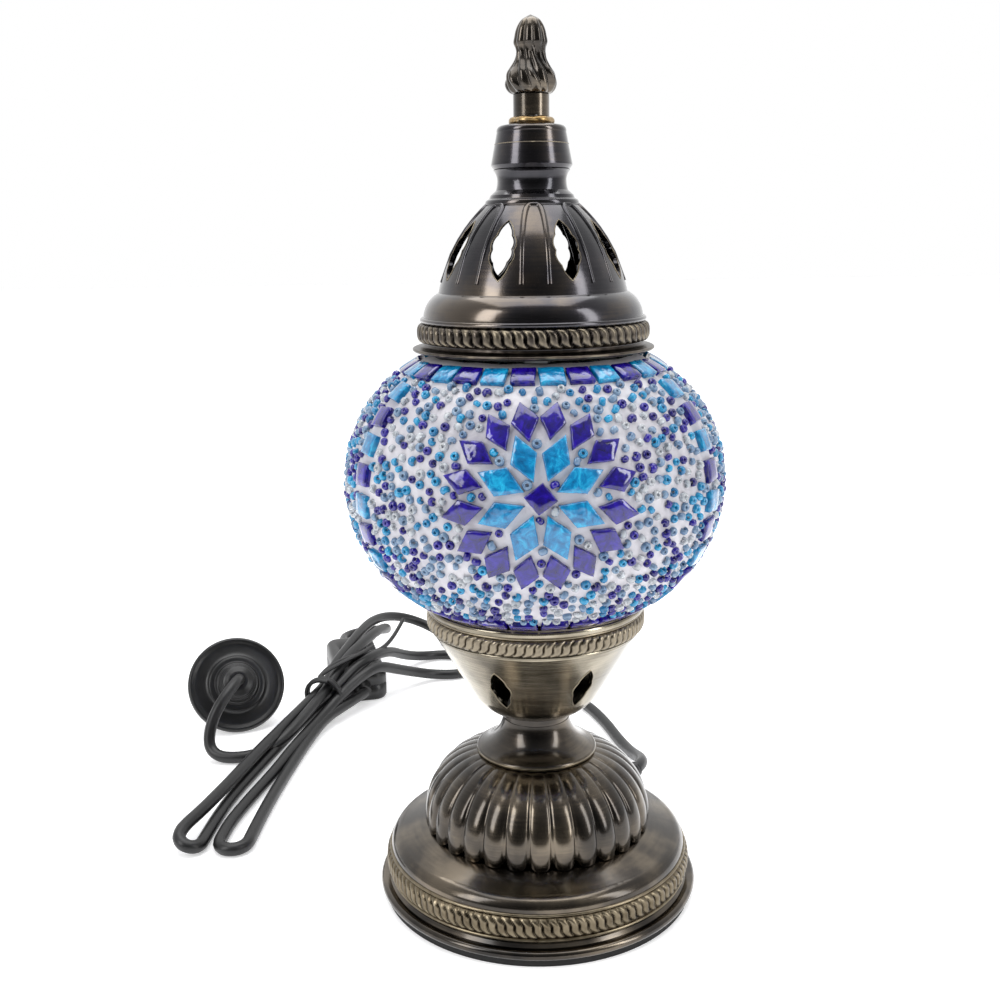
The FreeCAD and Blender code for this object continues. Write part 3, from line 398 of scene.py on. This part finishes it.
makeRing("capBandBead", 36.6, 204.5, 0.9, "cap", capMetal, "dark_bronze")
makeRing("cupScribedLine", 11.87, 259.9, 0.16, "cap", capTrim, "dark_bronze")
makeRing("neckLipRoll", 20.4, 52.5, 1.05, "root", footTrim, "dark_bronze")
makeRing("footBandUpper", 53.1, 16.7, 0.55, "root", footTrim, "dark_bronze")
makeRing("footBandLower", 53.3, 8.0, 0.6, "root", footTrim, "dark_bronze")
makeRing("bowlBandUpper", 36.9, 104.9, 0.5, "root", bowlTrim, "champagne_metal")
makeRing("bowlBandLower", 36.2, 98.2, 0.5, "root", bowlMetal, "champagne_metal")
makeRing("stemWireRing", 6.2, 266.9, 1.3, "cap", brassWire, "brass_trim", ["stem_collar"], 7)


# Spun shapes drawn as a smooth (radius, height) line
def makeSpun(name, profile, body, material, slot, replaced=(), rows=48):
    def spunPoint(u, v):
        return polar(u * fullTurn, *along(profile, v))

    return addPiece(name, *wrapped(192, rows, spunPoint), body, material, slot, replaced)


rimProfile = [
    (32.3, 193.7), (36, 193.75), (38.6, 194.2), (39.8, 194.5), (40.15, 195), (39.8, 195.5), (38.5, 195.7),
    (37, 196.1), (36.45, 197),
]
makeSpun("capRimRoll", rimProfile, "cap", capTrim, "dark_bronze", ["cap_rim_ring"])
neckProfile = [
    (15.0, 240.3), (15.3, 241.2), (15.0, 242.3), (14.0, 242.9), (13.2, 243.3), (12.3, 244.4), (11.6, 246),
    (11.25, 247.8),
    (11.3, 249.6), (11.8, 251), (12.5, 251.9),
]
makeSpun("capNeck", neckProfile, "cap", capMetal, "dark_bronze")
print("rope bands and rings made")


# Cast finial: curled leaves around the foot of a fluted bud
finialShape = {
    "profile": [
        (5.2, 275.0), (6.9, 275.8), (8.0, 277.5), (8.35, 279.4), (7.8, 281.5), (6.4, 283.5), (5.3, 285.4),
        (4.8, 287.4), (5.0, 289.2), (5.5, 290.8), (5.2, 292.6), (4.8, 294.4), (4.0, 296.2), (2.7, 297.8),
        (0.2, 299.1),
    ],
    "leaves": 13, "leafCut": 0.15, "twist": 0.22, "flutes": 9, "fluteCut": 0.14, "curls": 6,
}


def finialPoint(u, v):
    radius, height = along(finialShape["profile"], v)
    upper = min(1, max(0, (v - 0.5) / 0.12))
    leaf = (u * finialShape["leaves"] + v * finialShape["leaves"] * finialShape["twist"]) % 1 * 2 - 1
    flute = (u * finialShape["flutes"]) % 1 * 2 - 1
    curl = 0.06 * math.sin(fullTurn * (u * finialShape["curls"] + v * 3.2)) * math.sin(math.pi * min(1, v / 0.5))
    lower = 1 + curl - finialShape["leafCut"] * abs(leaf) ** 1.8
    bud = 1 - finialShape["fluteCut"] * abs(flute) ** 1.8
    fade = math.sin(math.pi * min(1, v * 1.01)) ** 0.3
    share = lower * (1 - upper) + bud * upper
    return polar(u * fullTurn, radius * (1 + (share - 1) * fade), height)


addPiece("finialBud", *wrapped(234, 90, finialPoint), "cap", footMetal, "dark_bronze", ["finial"])


# A thin raised line on a spun surface: the edge left around a pierced window, or an embossed rib
def surfaceLine(name, outline, bearing, profile, thickness, body, material, lift=0.0, closed=True):
    curve = bpy.data.curves.new(name, "CURVE")
    curve.dimensions = "3D"
    curve.bevel_depth = thickness * mm
    curve.bevel_resolution = 4
    spline = curve.splines.new("POLY")
    spline.points.add(len(outline) - 1)
    spline.use_cyclic_u = closed
    turn = Matrix.Rotation(bearing, 3, "Z")
    for point, (x, z) in zip(spline.points, outline):
        radius = radiusAt(profile, z) + lift
        reach = math.sqrt(max(0.01, radius * radius - x * x))
        point.co = (*(turn @ Vector((reach, x, z)) * mm), 1)
    curve.materials.append(material)
    piece = bpy.data.objects.new(name, curve)
    bpy.context.scene.collection.objects.link(piece)
    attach(piece, body)
    return piece


def leafOutline(width, low, high, scallops, steps=7):
    points = []
    for side in (1, -1):
        for index in range(scallops):
            ends = (index / scallops, (index + 1) / scallops)
            if side < 0:
                ends = (1 - ends[0], 1 - ends[1])
            middle = sum(ends) / 2
            reach = [abs(math.sin(math.pi * t)) ** 0.8 * 0.5 for t in ends]
            swell = 0.58 * math.sin(math.pi * middle) ** 0.8
            for step in range(steps):
                t = step / steps
                bow = 4 * t * (1 - t)
                chord = reach[0] + (reach[1] - reach[0]) * t
                bulge = (swell - sum(reach) / 2) * bow
                climb = ends[0] + (ends[1] - ends[0]) * t
                points.append((side * width * (chord + bulge), low + (high - low) * climb))
    return points


capProfile = (
    [(36.4, 196.0), (36.4, 204.6)]
    + arcPoints((36.4, 204.6), (35.4, 209.0), (31.2, 213.2), 12)[1:]
    + arcPoints((30.6, 215.6), (26.3, 226.8), (14.6, 241.2), 24)
)
bowlProfile = arcPoints((12.0, 66.4), (18.2, 69.4), (22.4, 73.9), 10) + arcPoints(
    (22.4, 73.9), (29.3, 85.9), (36.0, 97.2), 16
)[1:]
windows = {
    "cap": {"count": 8, "first": 22.5, "width": 7.6, "low": 217.5, "high": 236.0, "scallops": 4},
    "bowl": {"count": 6, "first": -27, "width": 6.4, "low": 75.0, "high": 90.5, "scallops": 3},
}
for place, hole in windows.items():
    body, profile = ("cap", capProfile) if place == "cap" else ("root", bowlProfile)
    material, slot = (capTrim, "dark_bronze") if place == "cap" else (bowlTrim, "champagne_metal")
    outline = leafOutline(hole["width"], hole["low"], hole["high"], hole["scallops"])
    for index in range(hole["count"]):
        bearing = math.radians(hole["first"] - 90 + 360 / hole["count"] * index)
        surfaceLine(f"{place}WindowEdge{index}", outline, bearing, profile, 0.2, body, material, 0.02)

# Arched ribs pressed into the cap between its windows
ribs = {
    "count": 8, "half": 4.7, "taper": 0.92, "low": 216.4, "high": 240.5, "thickness": 1.15, "lift": -0.78,
    "steps": 30,
}
ribOutline = []
for step in range(ribs["steps"] + 1):
    t = step / ribs["steps"] * 2 - 1
    rise = (1 - abs(t) ** 4.0) ** 0.7
    ribOutline.append((ribs["half"] * t * ribs["taper"], ribs["low"] + (ribs["high"] - ribs["low"]) * rise))
for index in range(ribs["count"]):
    surfaceLine(
        f"capRib{index}_0", ribOutline, math.radians(360 / ribs["count"] * index - 90), capProfile,
        ribs["thickness"], "cap", capMetal, ribs["lift"], False,
    )
print("windows and ribs made")


# Globe mosaic. Places on the globe are a bearing and a latitude in degrees.
globe = {"ring": 18.1, "height": 150.5, "grout": 44.9, "glass": 46.85, "edge": 64}


def globePoint(bearing, latitude, reach):
    swing = math.radians(latitude)
    return polar(
        math.radians(bearing), globe["ring"] + reach * math.cos(swing), globe["height"] + reach * math.sin(swing)
    )


def globeAxes(bearing, latitude):
    turn, swing = math.radians(bearing), math.radians(latitude)
    normal = Vector((math.cos(swing) * math.cos(turn), math.cos(swing) * math.sin(turn), math.sin(swing)))
    right = Vector((-math.sin(turn), math.cos(turn), 0))
    return right, normal.cross(right), normal


def girth(latitude):
    return globe["ring"] + globe["glass"] * math.cos(math.radians(latitude))


def placeFrom(bearing, latitude, distance, direction):
    there = latitude + math.degrees(distance * math.sin(direction) / globe["glass"])
    reach = girth((latitude + there) / 2)
    return bearing + math.degrees(distance * math.cos(direction) / reach), there


def turned(corners, angle):
    c, s = math.cos(angle), math.sin(angle)
    return [(x * c - y * s, x * s + y * c) for x, y in corners]


def rhombus(length, width):
    return [(-length / 2, 0), (0, -width / 2), (length / 2, 0), (0, width / 2)]


def rectangle(width, height):
    return [(-width / 2, -height / 2), (width / 2, -height / 2), (width / 2, height / 2), (-width / 2, height / 2)]


tileGroups = {}
tileSpots = []  # kept clear of beads: (centre, right, rise, corners)


def addTile(group, bearing, latitude, corners):
    corners = [(x + chance.uniform(-0.3, 0.3), y + chance.uniform(-0.3, 0.3)) for x, y in corners]
    right, rise, normal = globeAxes(bearing, latitude)
    centre = globePoint(bearing, latitude, globe["glass"])
    tileSpots.append((centre, right, rise, corners))
    edge = []
    for (x1, y1), (x2, y2) in zip(corners, corners[1:] + corners[:1]):
        for step in range(5):
            t = step / 5
            nick = chance.uniform(-0.05, 0.05) if step else 0
            edge.append((x1 + (x2 - x1) * t + nick, y1 + (y2 - y1) * t + nick))
    vertices, faces = tileGroups.setdefault(group, ([], []))
    start = len(vertices)
    top = globe["glass"] - chance.uniform(0, 0.25)
    tilt = chance.uniform(-0.02, 0.02)
    # Rings of the piece from its bed up over the rounded edge to the flat top
    layers = ((1.0, globe["grout"] - 0.6), (1.0, top - 0.42), (0.965, top - 0.14), (0.9, top), (0.45, top))
    for share, reach in layers:
        for x, y in edge:
            x, y = x * share, y * share
            point = centre + (right * x + rise * y) * mm
            flat = Vector((point.x, point.y, 0))
            core = flat.normalized() * globe["ring"] * mm + Vector((0, 0, globe["height"] * mm))
            vertices.append(core + (point - core).normalized() * (reach + tilt * x * (share < 1)) * mm)
    count = len(edge)
    for layer in range(len(layers) - 1):
        for k in range(count):
            a, b = start + layer * count + k, start + layer * count + (k + 1) % count
            faces.append((a, b, b + count, a + count))
    vertices.append(sum(vertices[-count:], Vector()) / count)
    last = len(vertices) - 1
    for k in range(count):
        a, b = last - count + k, last - count + (k + 1) % count
        faces.append((a, b, last))


mosaic = {"medallions": (-90, 30, 150), "latitude": 8, "petals": 8, "columns": (-30, 90, 210), "side": 7.2}
petal = {
    "long": 15.4, "wide": 8.9, "half": 4.6, "outerLong": 13.2, "outerWide": 8.2, "outerAt": 24.4, "fan": 8,
}
for bearing in mosaic["medallions"]:
    diamond = turned(rectangle(petal["half"] * 1.5, petal["half"] * 1.5), math.radians(38))
    addTile("medallion_centres", bearing, mosaic["latitude"], diamond)
    for index in range(mosaic["petals"]):
        direction = fullTurn / mosaic["petals"] * (index + 0.5)
        inner = placeFrom(bearing, mosaic["latitude"], petal["half"] + 0.7 + petal["long"] / 2, direction)
        addTile("medallion_inner_petals", *inner, turned(rhombus(petal["long"], petal["wide"]), direction))
        for side in (-1, 1):
            lean = direction + side * fullTurn / mosaic["petals"] / 4
            outer = placeFrom(bearing, mosaic["latitude"], petal["outerAt"], lean)
            outline = rhombus(petal["outerLong"], petal["outerWide"])
            fanned = direction + side * math.radians(petal["fan"])
            addTile("medallion_outer_petals", *outer, turned(outline, fanned))

columnStep = math.degrees((mosaic["side"] + 2.7) / globe["glass"])
for bearing in mosaic["columns"]:
    for index in range(9):
        group = "column_tiles_dark" if index % 2 else "column_tiles_light"
        square = turned(rectangle(mosaic["side"], mosaic["side"]), math.radians(4 if index % 2 else -5))
        addTile(group, bearing, (index - 4) * columnStep - 2, square)

for sign, count, height in ((1, 30, 7.2), (-1, 26, 5.04)):
    latitude = sign * (globe["edge"] - math.degrees((height / 2 + 0.3) / globe["glass"]))
    width = fullTurn * girth(latitude) / count - 1.1
    for index in range(count):
        group = "bottom_row" if sign < 0 else ("top_row_dark" if index % 2 else "top_row_light")
        addTile(group, 360 / count * (index + 0.5) - 90, latitude, rectangle(width, height))



# Grout wiped flush between the pieces, so a little lower than the glass and the beads
def groutPoint(u, v):
    swing = math.radians(-70 + 140 * v)
    reach = globe["grout"] + 0.12 * math.sin(u * 97) * math.sin(v * 83)
    return polar(u * fullTurn, globe["ring"] + reach * math.cos(swing), globe["height"] + reach * math.sin(swing))


addPiece("groutBed", *wrapped(300, 120, groutPoint), "globe", grout, "white_grout", ["grout_layer"])
lightGroups = ("medallion_inner_petals", "column_tiles_light", "top_row_light")
for group, shape in tileGroups.items():
    material, slot = (turquoiseTile, "turquoise_glass") if group in lightGroups else (cobaltTile, "cobalt_glass")
    words = group.split("_")
    name = words[0] + "".join(word.capitalize() for word in words[1:]) + "Glass"
    addPiece(name, *shape, "globe", material, slot, [group])
print("tiles made:", len(tileSpots))


# Seed beads pressed into the grout by hand: small rings and barrels at every angle
beads = {"tries": 60000, "spacing": 2.95, "clear": 1.45, "sizes": (1.2, 1.62), "bed": 45.25, "around": 10}
section = [(0.34, -0.5), (0.72, -0.72), (1.0, -0.3), (1.0, 0.3), (0.72, 0.72), (0.34, 0.5)]


def outsideTiles(point):
    for centre, right, rise, corners in tileSpots:
        offset = (point - centre) / mm
        if offset.length_squared > 120:
            continue
        x, y = offset.dot(right), offset.dot(rise)
        gap = max(
            ((y2 - y1) * (x - x1) - (x2 - x1) * (y - y1)) / math.hypot(x2 - x1, y2 - y1)
            for (x1, y1), (x2, y2) in zip(corners, corners[1:] + corners[:1])
        )
        if gap < beads["clear"]:
            return False
    return True


beadCells = {}
beadMeshes = {kind: ([], []) for kind in beadKinds}
beadCount = 0
for attempt in range(beads["tries"]):
    latitude = math.degrees(math.asin(chance.uniform(-0.885, 0.885)))
    if chance.random() > girth(latitude) / 65:
        continue
    bearing = chance.uniform(0, 360)
    point = globePoint(bearing, latitude, beads["bed"])
    cell = tuple(int(math.floor(v / (beads["spacing"] * mm))) for v in point)
    near = [
        other
        for dx in (-1, 0, 1) for dy in (-1, 0, 1) for dz in (-1, 0, 1)
        for other in beadCells.get((cell[0] + dx, cell[1] + dy, cell[2] + dz), ())
    ]
    if any((other - point).length < beads["spacing"] * mm for other in near) or not outsideTiles(point):
        continue
    beadCells.setdefault(cell, []).append(point)
    beadCount += 1
    kind = chance.choices(list(beadKinds), [share for _, share in beadKinds.values()])[0]
    vertices, faces = beadMeshes[kind]
    right, rise, normal = globeAxes(bearing, latitude)
    # Most lie with the hole outward, the rest on their sides
    axis = normal if chance.random() < 0.45 else (right * chance.uniform(-1, 1) + rise * chance.uniform(-1, 1))
    axis = (axis.normalized() + normal * chance.uniform(0, 0.5)).normalized()
    spin = Vector((0, 0, 1)).rotation_difference(axis)
    size = chance.uniform(*beads["sizes"])
    start, around = len(vertices), beads["around"]
    for r, z in section:
        for k in range(around):
            turn = fullTurn * k / around
            local = Vector((r * math.cos(turn), r * math.sin(turn), z * 0.95)) * size
            local.rotate(spin)
            vertices.append(point + local * mm)
    for ring in range(len(section)):
        following = (ring + 1) % len(section)
        for k in range(around):
            k2 = (k + 1) % around
            faces.append((
                start + ring * around + k, start + ring * around + k2,
                start + following * around + k2, start + following * around + k,
            ))
for kind, shape in beadMeshes.items():
    addPiece(f"{kind}Beads", *shape, "globe", beadKinds[kind][0], "clear_glass")
print("beads made:", beadCount)


# Cord routes in millimetres. The first runs from the lamp through the tied hank to the switch.
cordSize = {"diameter": 0.0052, "exitAngle": 56.0, "exitReach": 78.05, "exitHeight": 11.5}
exitTurn = math.radians(cordSize["exitAngle"])
outward = Vector((math.cos(exitTurn), math.sin(exitTurn), 0))
bushEnd = outward * cordSize["exitReach"] + Vector((0, 0, cordSize["exitHeight"]))
switchTurn = Matrix.Translation((-90, 199, 0)) @ Matrix.Rotation(math.radians(14), 4, "Z")
nearGland = switchTurn @ Vector((0, -36, 8))
farGland = switchTurn @ Vector((0, 36, 8))
lampRoute = [
    bushEnd, bushEnd + outward * 6, (48, 82, 8.4), (45.5, 96, 4.4), (41.5, 114, 2.8), (37.5, 134, 2.7),
    (30, 157, 2.7), (15.5, 181, 2.7), (-4, 205, 2.7), (-24, 228, 2.8), (-39, 247, 4), (-52, 261, 9), (-67, 261, 15.5),
    (-78.5, 249, 20.5), (-85, 232, 22.8), (-89, 211, 23.2), (-93, 190, 22), (-97, 172, 20.2),
    # narrow loop, out over and back under
    (-99, 158, 15.4), (-106, 146, 11.5), (-113, 125, 9.4), (-121, 93, 9), (-128, 60, 8.6), (-133.5, 40, 7.8),
    (-136.8, 30.5, 7.4), (-138.1, 25.4, 6.8), (-137.9, 21.3, 5.9), (-135.5, 18.6, 4.6), (-132.1, 18.6, 3.4),
    (-129.8, 21.4, 2.8), (-129.4, 26.2, 2.7), (-128.6, 41, 2.7), (-126.5, 62, 2.7),
    (-119.5, 93, 3.2), (-112, 123, 4.4), (-104, 144, 7),
    # over the switch to the loose end loop and back
    (-94.6, 156, 13.2), (-86, 166, 20.6), (-78, 178.5, 22.4), (-71, 197, 18), (-65.5, 215, 9), (-57, 228, 3.4),
    (-43, 233, 2.7), (-29, 226, 2.7), (-25, 212, 2.7), (-34, 201, 2.7), (-48, 200, 3.2), (-58, 194, 7),
    (-66.5, 182, 13.4), (-75, 168.5, 20.4), (-84, 158.5, 17.4), (-93, 150, 10.6),
    # wide loop
    (-99.5, 136, 6.4), (-107, 112, 4.4), (-112.5, 85, 3), (-118, 62, 2.7), (-122, 41, 2.7), (-122.8, 27.6, 2.7),
    (-122.6, 21.6, 2.7), (-119.4, 18, 2.7), (-114.8, 18.1, 2.7), (-111.7, 21.7, 2.7), (-111.3, 27.4, 2.7),
    (-110.8, 40, 2.7), (-109.5, 60, 2.7), (-107, 86, 2.7),
    (-103, 116, 3.4), (-97.5, 139, 5.4), (-89, 151.5, 6.8), nearGland,
]
plugPlace = Vector((-141, 144.5, 20.7))
plugOut = Vector((0.2962, -0.8138, 0.5))
plugAcross = Vector((math.cos(math.radians(20)), math.sin(math.radians(20)), 0))
plugBack = plugPlace + plugOut * 11
plugRoute = [
    farGland, (-103.5, 249, 6), (-102.5, 263, 4.4), (-92, 270, 4.8), (-81, 263, 7.6), (-77.5, 249.5, 12.4),
    (-77, 234, 18.6), (-80, 217, 22.4), (-84.5, 199, 23), (-90, 181, 22.4), (-94, 166, 20.2), (-99, 151, 14),
    (-104, 135, 11.6), (-109, 119, 9.2), (-115, 107.5, 6), (-122.5, 102, 3.8), (-131.5, 100, 2.8),
    (-141, 101, 2.9), (-146, 104.5, 6.5), (-145.5, 107.5, 14.5), (-142, 110.5, 23), (-137.5, 117.5, 29),
    plugBack + plugOut * 9, plugBack,
]


def makeCord(name, route, replaced):
    curve = bpy.data.curves.new(name, "CURVE")
    curve.dimensions = "3D"
    curve.bevel_depth = cordSize["diameter"] / 2
    curve.bevel_resolution = 5
    curve.resolution_u = 10
    spline = curve.splines.new("NURBS")
    spline.points.add(len(route) - 1)
    for point, place in zip(spline.points, route):
        point.co = (*(Vector(place) * mm), 1)
    spline.order_u = 3
    spline.use_endpoint_u = True
    curve.materials.append(cable)
    piece = bpy.data.objects.new(name, curve)
    bpy.context.scene.collection.objects.link(piece)
    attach(piece, "root")
    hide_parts(*replaced)
    return piece


lampCord = makeCord("lampCord", lampRoute, ["cord_lead", "cord_hank", "cord_loop", "cord_switch_feed"])
plugCord = makeCord("plugCord", plugRoute, ["cord_switch_return", "cord_tail"])
print("cords made")


# Turned pieces along any line: (radius, distance along the line)
def turnedAlong(name, profile, base, direction, across, body, material, slot, replaced=(), columns=64, rows=None):
    side = direction.cross(across).normalized()
    rows = rows or len(profile) * 4

    def turnedPoint(u, v):
        radius, distance = along(profile, v)
        turn = u * fullTurn
        ray = across * math.cos(turn) + side * math.sin(turn)
        return (base + direction * distance + ray * max(0.01, radius)) * mm

    return addPiece(name, *wrapped(columns, rows, turnedPoint), body, material, slot, replaced)


# Bush on the foot: a ribbed sleeve that tapers onto the cord
bushProfile = [(2.6, -3), (3.5, -2.9), (3.5, -0.1), (5.2, 0), (5.4, 0.9), (5.2, 1.8), (4.4, 2)]
for rib in range(7):
    start, wide = 2.6 + rib * 3.1, 4.5 - rib * 0.17
    bushProfile += [(wide - 0.5, start), (wide, start + 0.5), (wide, start + 1.7), (wide - 0.5, start + 2.2)]
bushProfile += [(3.3, 24.6), (2.7, 25)]
bushBase = outward * 53.05 + Vector((0, 0, cordSize["exitHeight"]))
bushPiece = turnedAlong(
    "cordBush", bushProfile, bushBase, outward, Vector((0, 0, 1)), "root", plastic, "black_plastic",
    ["cable_bush"], 48,
)

# Plug: a round flange with a moulded lip, a ringed boss and a waisted body
plugProfile = [
    (0, -18), (8, -18), (12, -17.9), (13.4, -16.6), (13.8, -14), (14.2, -9), (15, -5), (16, -2.6), (19, -2.1),
    (22, -2), (22.8, -1.2), (23, 0), (22.7, 1.3), (21.8, 2), (20.6, 1.7), (19.4, 1.3), (17, 1.4), (14.6, 1.8),
    (13.4, 2.7), (13.2, 3.3), (12.2, 3.6), (10.6, 3.7), (10.2, 4.4), (9.6, 5.2), (8.8, 5.5), (8.6, 6.6),
    (8.1, 7.1), (8, 8.2), (7.4, 8.8), (7.2, 9.8), (5.4, 10.6), (4.2, 11), (2.6, 11),
]
plugPiece = turnedAlong(
    "plugShell", plugProfile, plugPlace, plugOut, plugAcross, "root", plastic, "black_plastic", ["plug_body"], 96
)


# Switch halves: layers of one rounded outline, each a half width, half length, corner and height
def roundedLayer(halfWidth, halfLength, corner, height, steps=8):
    points = []
    for quarter, (sx, sy) in enumerate(((1, 1), (-1, 1), (-1, -1), (1, -1))):
        for step in range(steps + 1):
            turn = math.radians(90 * (quarter + step / steps))
            points.append(Vector((
                sx * (halfWidth - corner) + corner * math.cos(turn),
                sy * (halfLength - corner) + corner * math.sin(turn),
                height,
            )))
    return points


def stackedShell(name, layers, body, material, slot, replaced):
    rings = [roundedLayer(*layer) for layer in layers]
    count = len(rings[0])
    vertices = [(switchTurn @ point) * mm for ring in rings for point in ring]
    faces = [
        (r * count + k, r * count + (k + 1) % count, (r + 1) * count + (k + 1) % count, (r + 1) * count + k)
        for r in range(len(rings) - 1) for k in range(count)
    ]
    return addPiece(name, vertices, faces, body, material, slot, replaced)


switchBox = {"halfWidth": 13, "halfLength": 29, "corner": 7, "split": 8, "top": 16}
w, l, c = switchBox["halfWidth"], switchBox["halfLength"], switchBox["corner"]
baseLayers = [
    (0.5, 14, 0.4, 0.1), (w - 1.6, l - 1.6, c - 1.6, 0.1), (w - 0.7, l - 0.7, c - 0.7, 0.4),
    (w - 0.1, l - 0.1, c - 0.1, 1.5),
    (w, l, c, 3), (w, l, c, 7.3), (w - 0.45, l - 0.45, c - 0.45, 7.7), (w - 0.5, l - 0.5, c - 0.5, 8),
]
coverLayers = [
    (w - 0.5, l - 0.5, c - 0.5, 8.02), (w - 0.4, l - 0.4, c - 0.4, 8.25), (w, l, c, 8.6), (w, l, c, 12.4),
    (w - 0.3, l - 0.3, c - 0.3, 14), (w - 1.1, l - 1.1, c - 1.1, 15.3), (w - 2.2, l - 2.2, c - 2.2, 15.9),
    (w - 3.2, l - 3.2, c - 3.2, 16), (7.4, 11.8, 1.6, 16), (7.1, 11.5, 1.4, 15.8), (6.9, 11.3, 1.2, 14.6),
    (6.9, 11.3, 1.2, 11),
]
switchLower = stackedShell("switchLower", baseLayers, "root", plastic, "black_plastic", ["switch_base"])
switchUpper = stackedShell("switchUpper", coverLayers, "root", plastic, "black_plastic", ["switch_cover"])

# Rounded twist tie pulled tight around the hank, with two loose tails
tie = {"wire": 1.05, "centre": (-99.7, 151.2, 11.5), "radius": 8.9}
tieRun = Vector((32, 147, 0)).normalized()
tieSide = Vector((tieRun.y, -tieRun.x, 0))
tieCentre = Vector(tie["centre"])


def tieLine(name, points, replaced=()):
    curve = bpy.data.curves.new(name, "CURVE")
    curve.dimensions = "3D"
    curve.bevel_depth = tie["wire"] * mm
    curve.bevel_resolution = 3
    spline = curve.splines.new("NURBS")
    spline.points.add(len(points) - 1)
    for point, place in zip(spline.points, points):
        point.co = (*(Vector(place) * mm), 1)
    spline.order_u = 4
    spline.use_endpoint_u = True
    curve.use_fill_caps = True
    curve.materials.append(cable)
    piece = bpy.data.objects.new(name, curve)
    bpy.context.scene.collection.objects.link(piece)
    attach(piece, "root")
    if replaced:
        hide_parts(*replaced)
    return piece


wraps = []
for step in range(31):
    turn = fullTurn * (0.2 + 2.1 * step / 30)
    reach = tie["radius"] - 0.6 * math.sin(turn * 2)
    offset = tieSide * math.cos(turn) * reach + Vector((0, 0, math.sin(turn) * reach)) + tieRun * (step / 30 * 4 - 2)
    wraps.append(tieCentre + offset)
tieLine("tieWraps", wraps, ["cord_tie"])
tieTop = wraps[-1]
longTail = [tieTop, tieTop + Vector((4, 8, 4)), (-84, 172, 26), (-74, 190, 20), (-69, 205, 24), (-65, 214, 30)]
tieLine("tieLongTail", longTail)
tieLine("tieShortTail", [tieTop, tieTop + Vector((3, 5, 3)), (-86, 168, 25), (-78, 176, 28)])

print("switch, plug and tie made")


# Studio: a pale floor that meets an equally pale distance, and soft boxes
sweep, tree, shader, place = newMaterial(
    "paperSweep", Roughness=0.8, Emission_Color=(1, 1, 1, 1), Emission_Strength=0.42
)
fibre = addNode(tree, "TexNoise", {"Vector": place}, {"Scale": 120.0})
tree.links.new(
    colourRamp(tree, fibre.outputs["Fac"], [(0.3, "#f0f0f1"), (0.7, "#f6f6f7")]), shader.inputs["Base Color"]
)
floorMesh = bpy.data.meshes.new("floor")
floorMesh.from_pydata([(-5, -4, 0), (5, -4, 0), (-5, 6, 0), (5, 6, 0)], [], [(0, 1, 3, 2)])
floorMesh.shade_smooth()
floorMesh.materials.append(sweep)
floor = bpy.data.objects.new("floor", floorMesh)
bpy.context.scene.collection.objects.link(floor)

world = bpy.data.worlds.new("studio")
bpy.context.scene.world = world
world.use_nodes = True
worldTree = world.node_tree
background = worldTree.nodes["Background"]
aim = addNode(worldTree, "TexCoord").outputs["Generated"]
parts = addNode(worldTree, "SeparateXYZ", {"Vector": aim})
# Bright behind the lamp, dim behind the camera, so that the metal has something dark to mirror
depth = addNode(
    worldTree, "MapRange", {"Value": parts.outputs["Y"]},
    {"From Min": -0.9, "From Max": 0.6, "To Min": 0.1, "To Max": 1.0},
)
worldTree.links.new(depth.outputs["Result"], background.inputs["Strength"])
background.inputs["Color"].default_value = (1, 1, 1, 1)


def softBox(name, place, aimAt, width, height, power):
    light = bpy.data.lights.new(name, "AREA")
    light.shape = "RECTANGLE"
    light.size = width
    light.size_y = height
    light.energy = power
    lamp = bpy.data.objects.new(name, light)
    lamp.location = place
    lamp.rotation_euler = (Vector(aimAt) - Vector(place)).to_track_quat("-Z", "Y").to_euler()
    bpy.context.scene.collection.objects.link(lamp)


softBox("keyBox", (-1.0, -0.75, 0.85), (0, 0, 0.15), 0.45, 1.0, 9)
softBox("fillBox", (1.1, -0.6, 0.7), (0, 0, 0.15), 0.3, 1.1, 7)
softBox("topBox", (0, 0.2, 1.5), (0, 0, 0), 1.4, 1.4, 17)
bpy.context.scene.view_settings.view_transform = "Standard"
print("studio made")

bpy.context.view_layer.update()
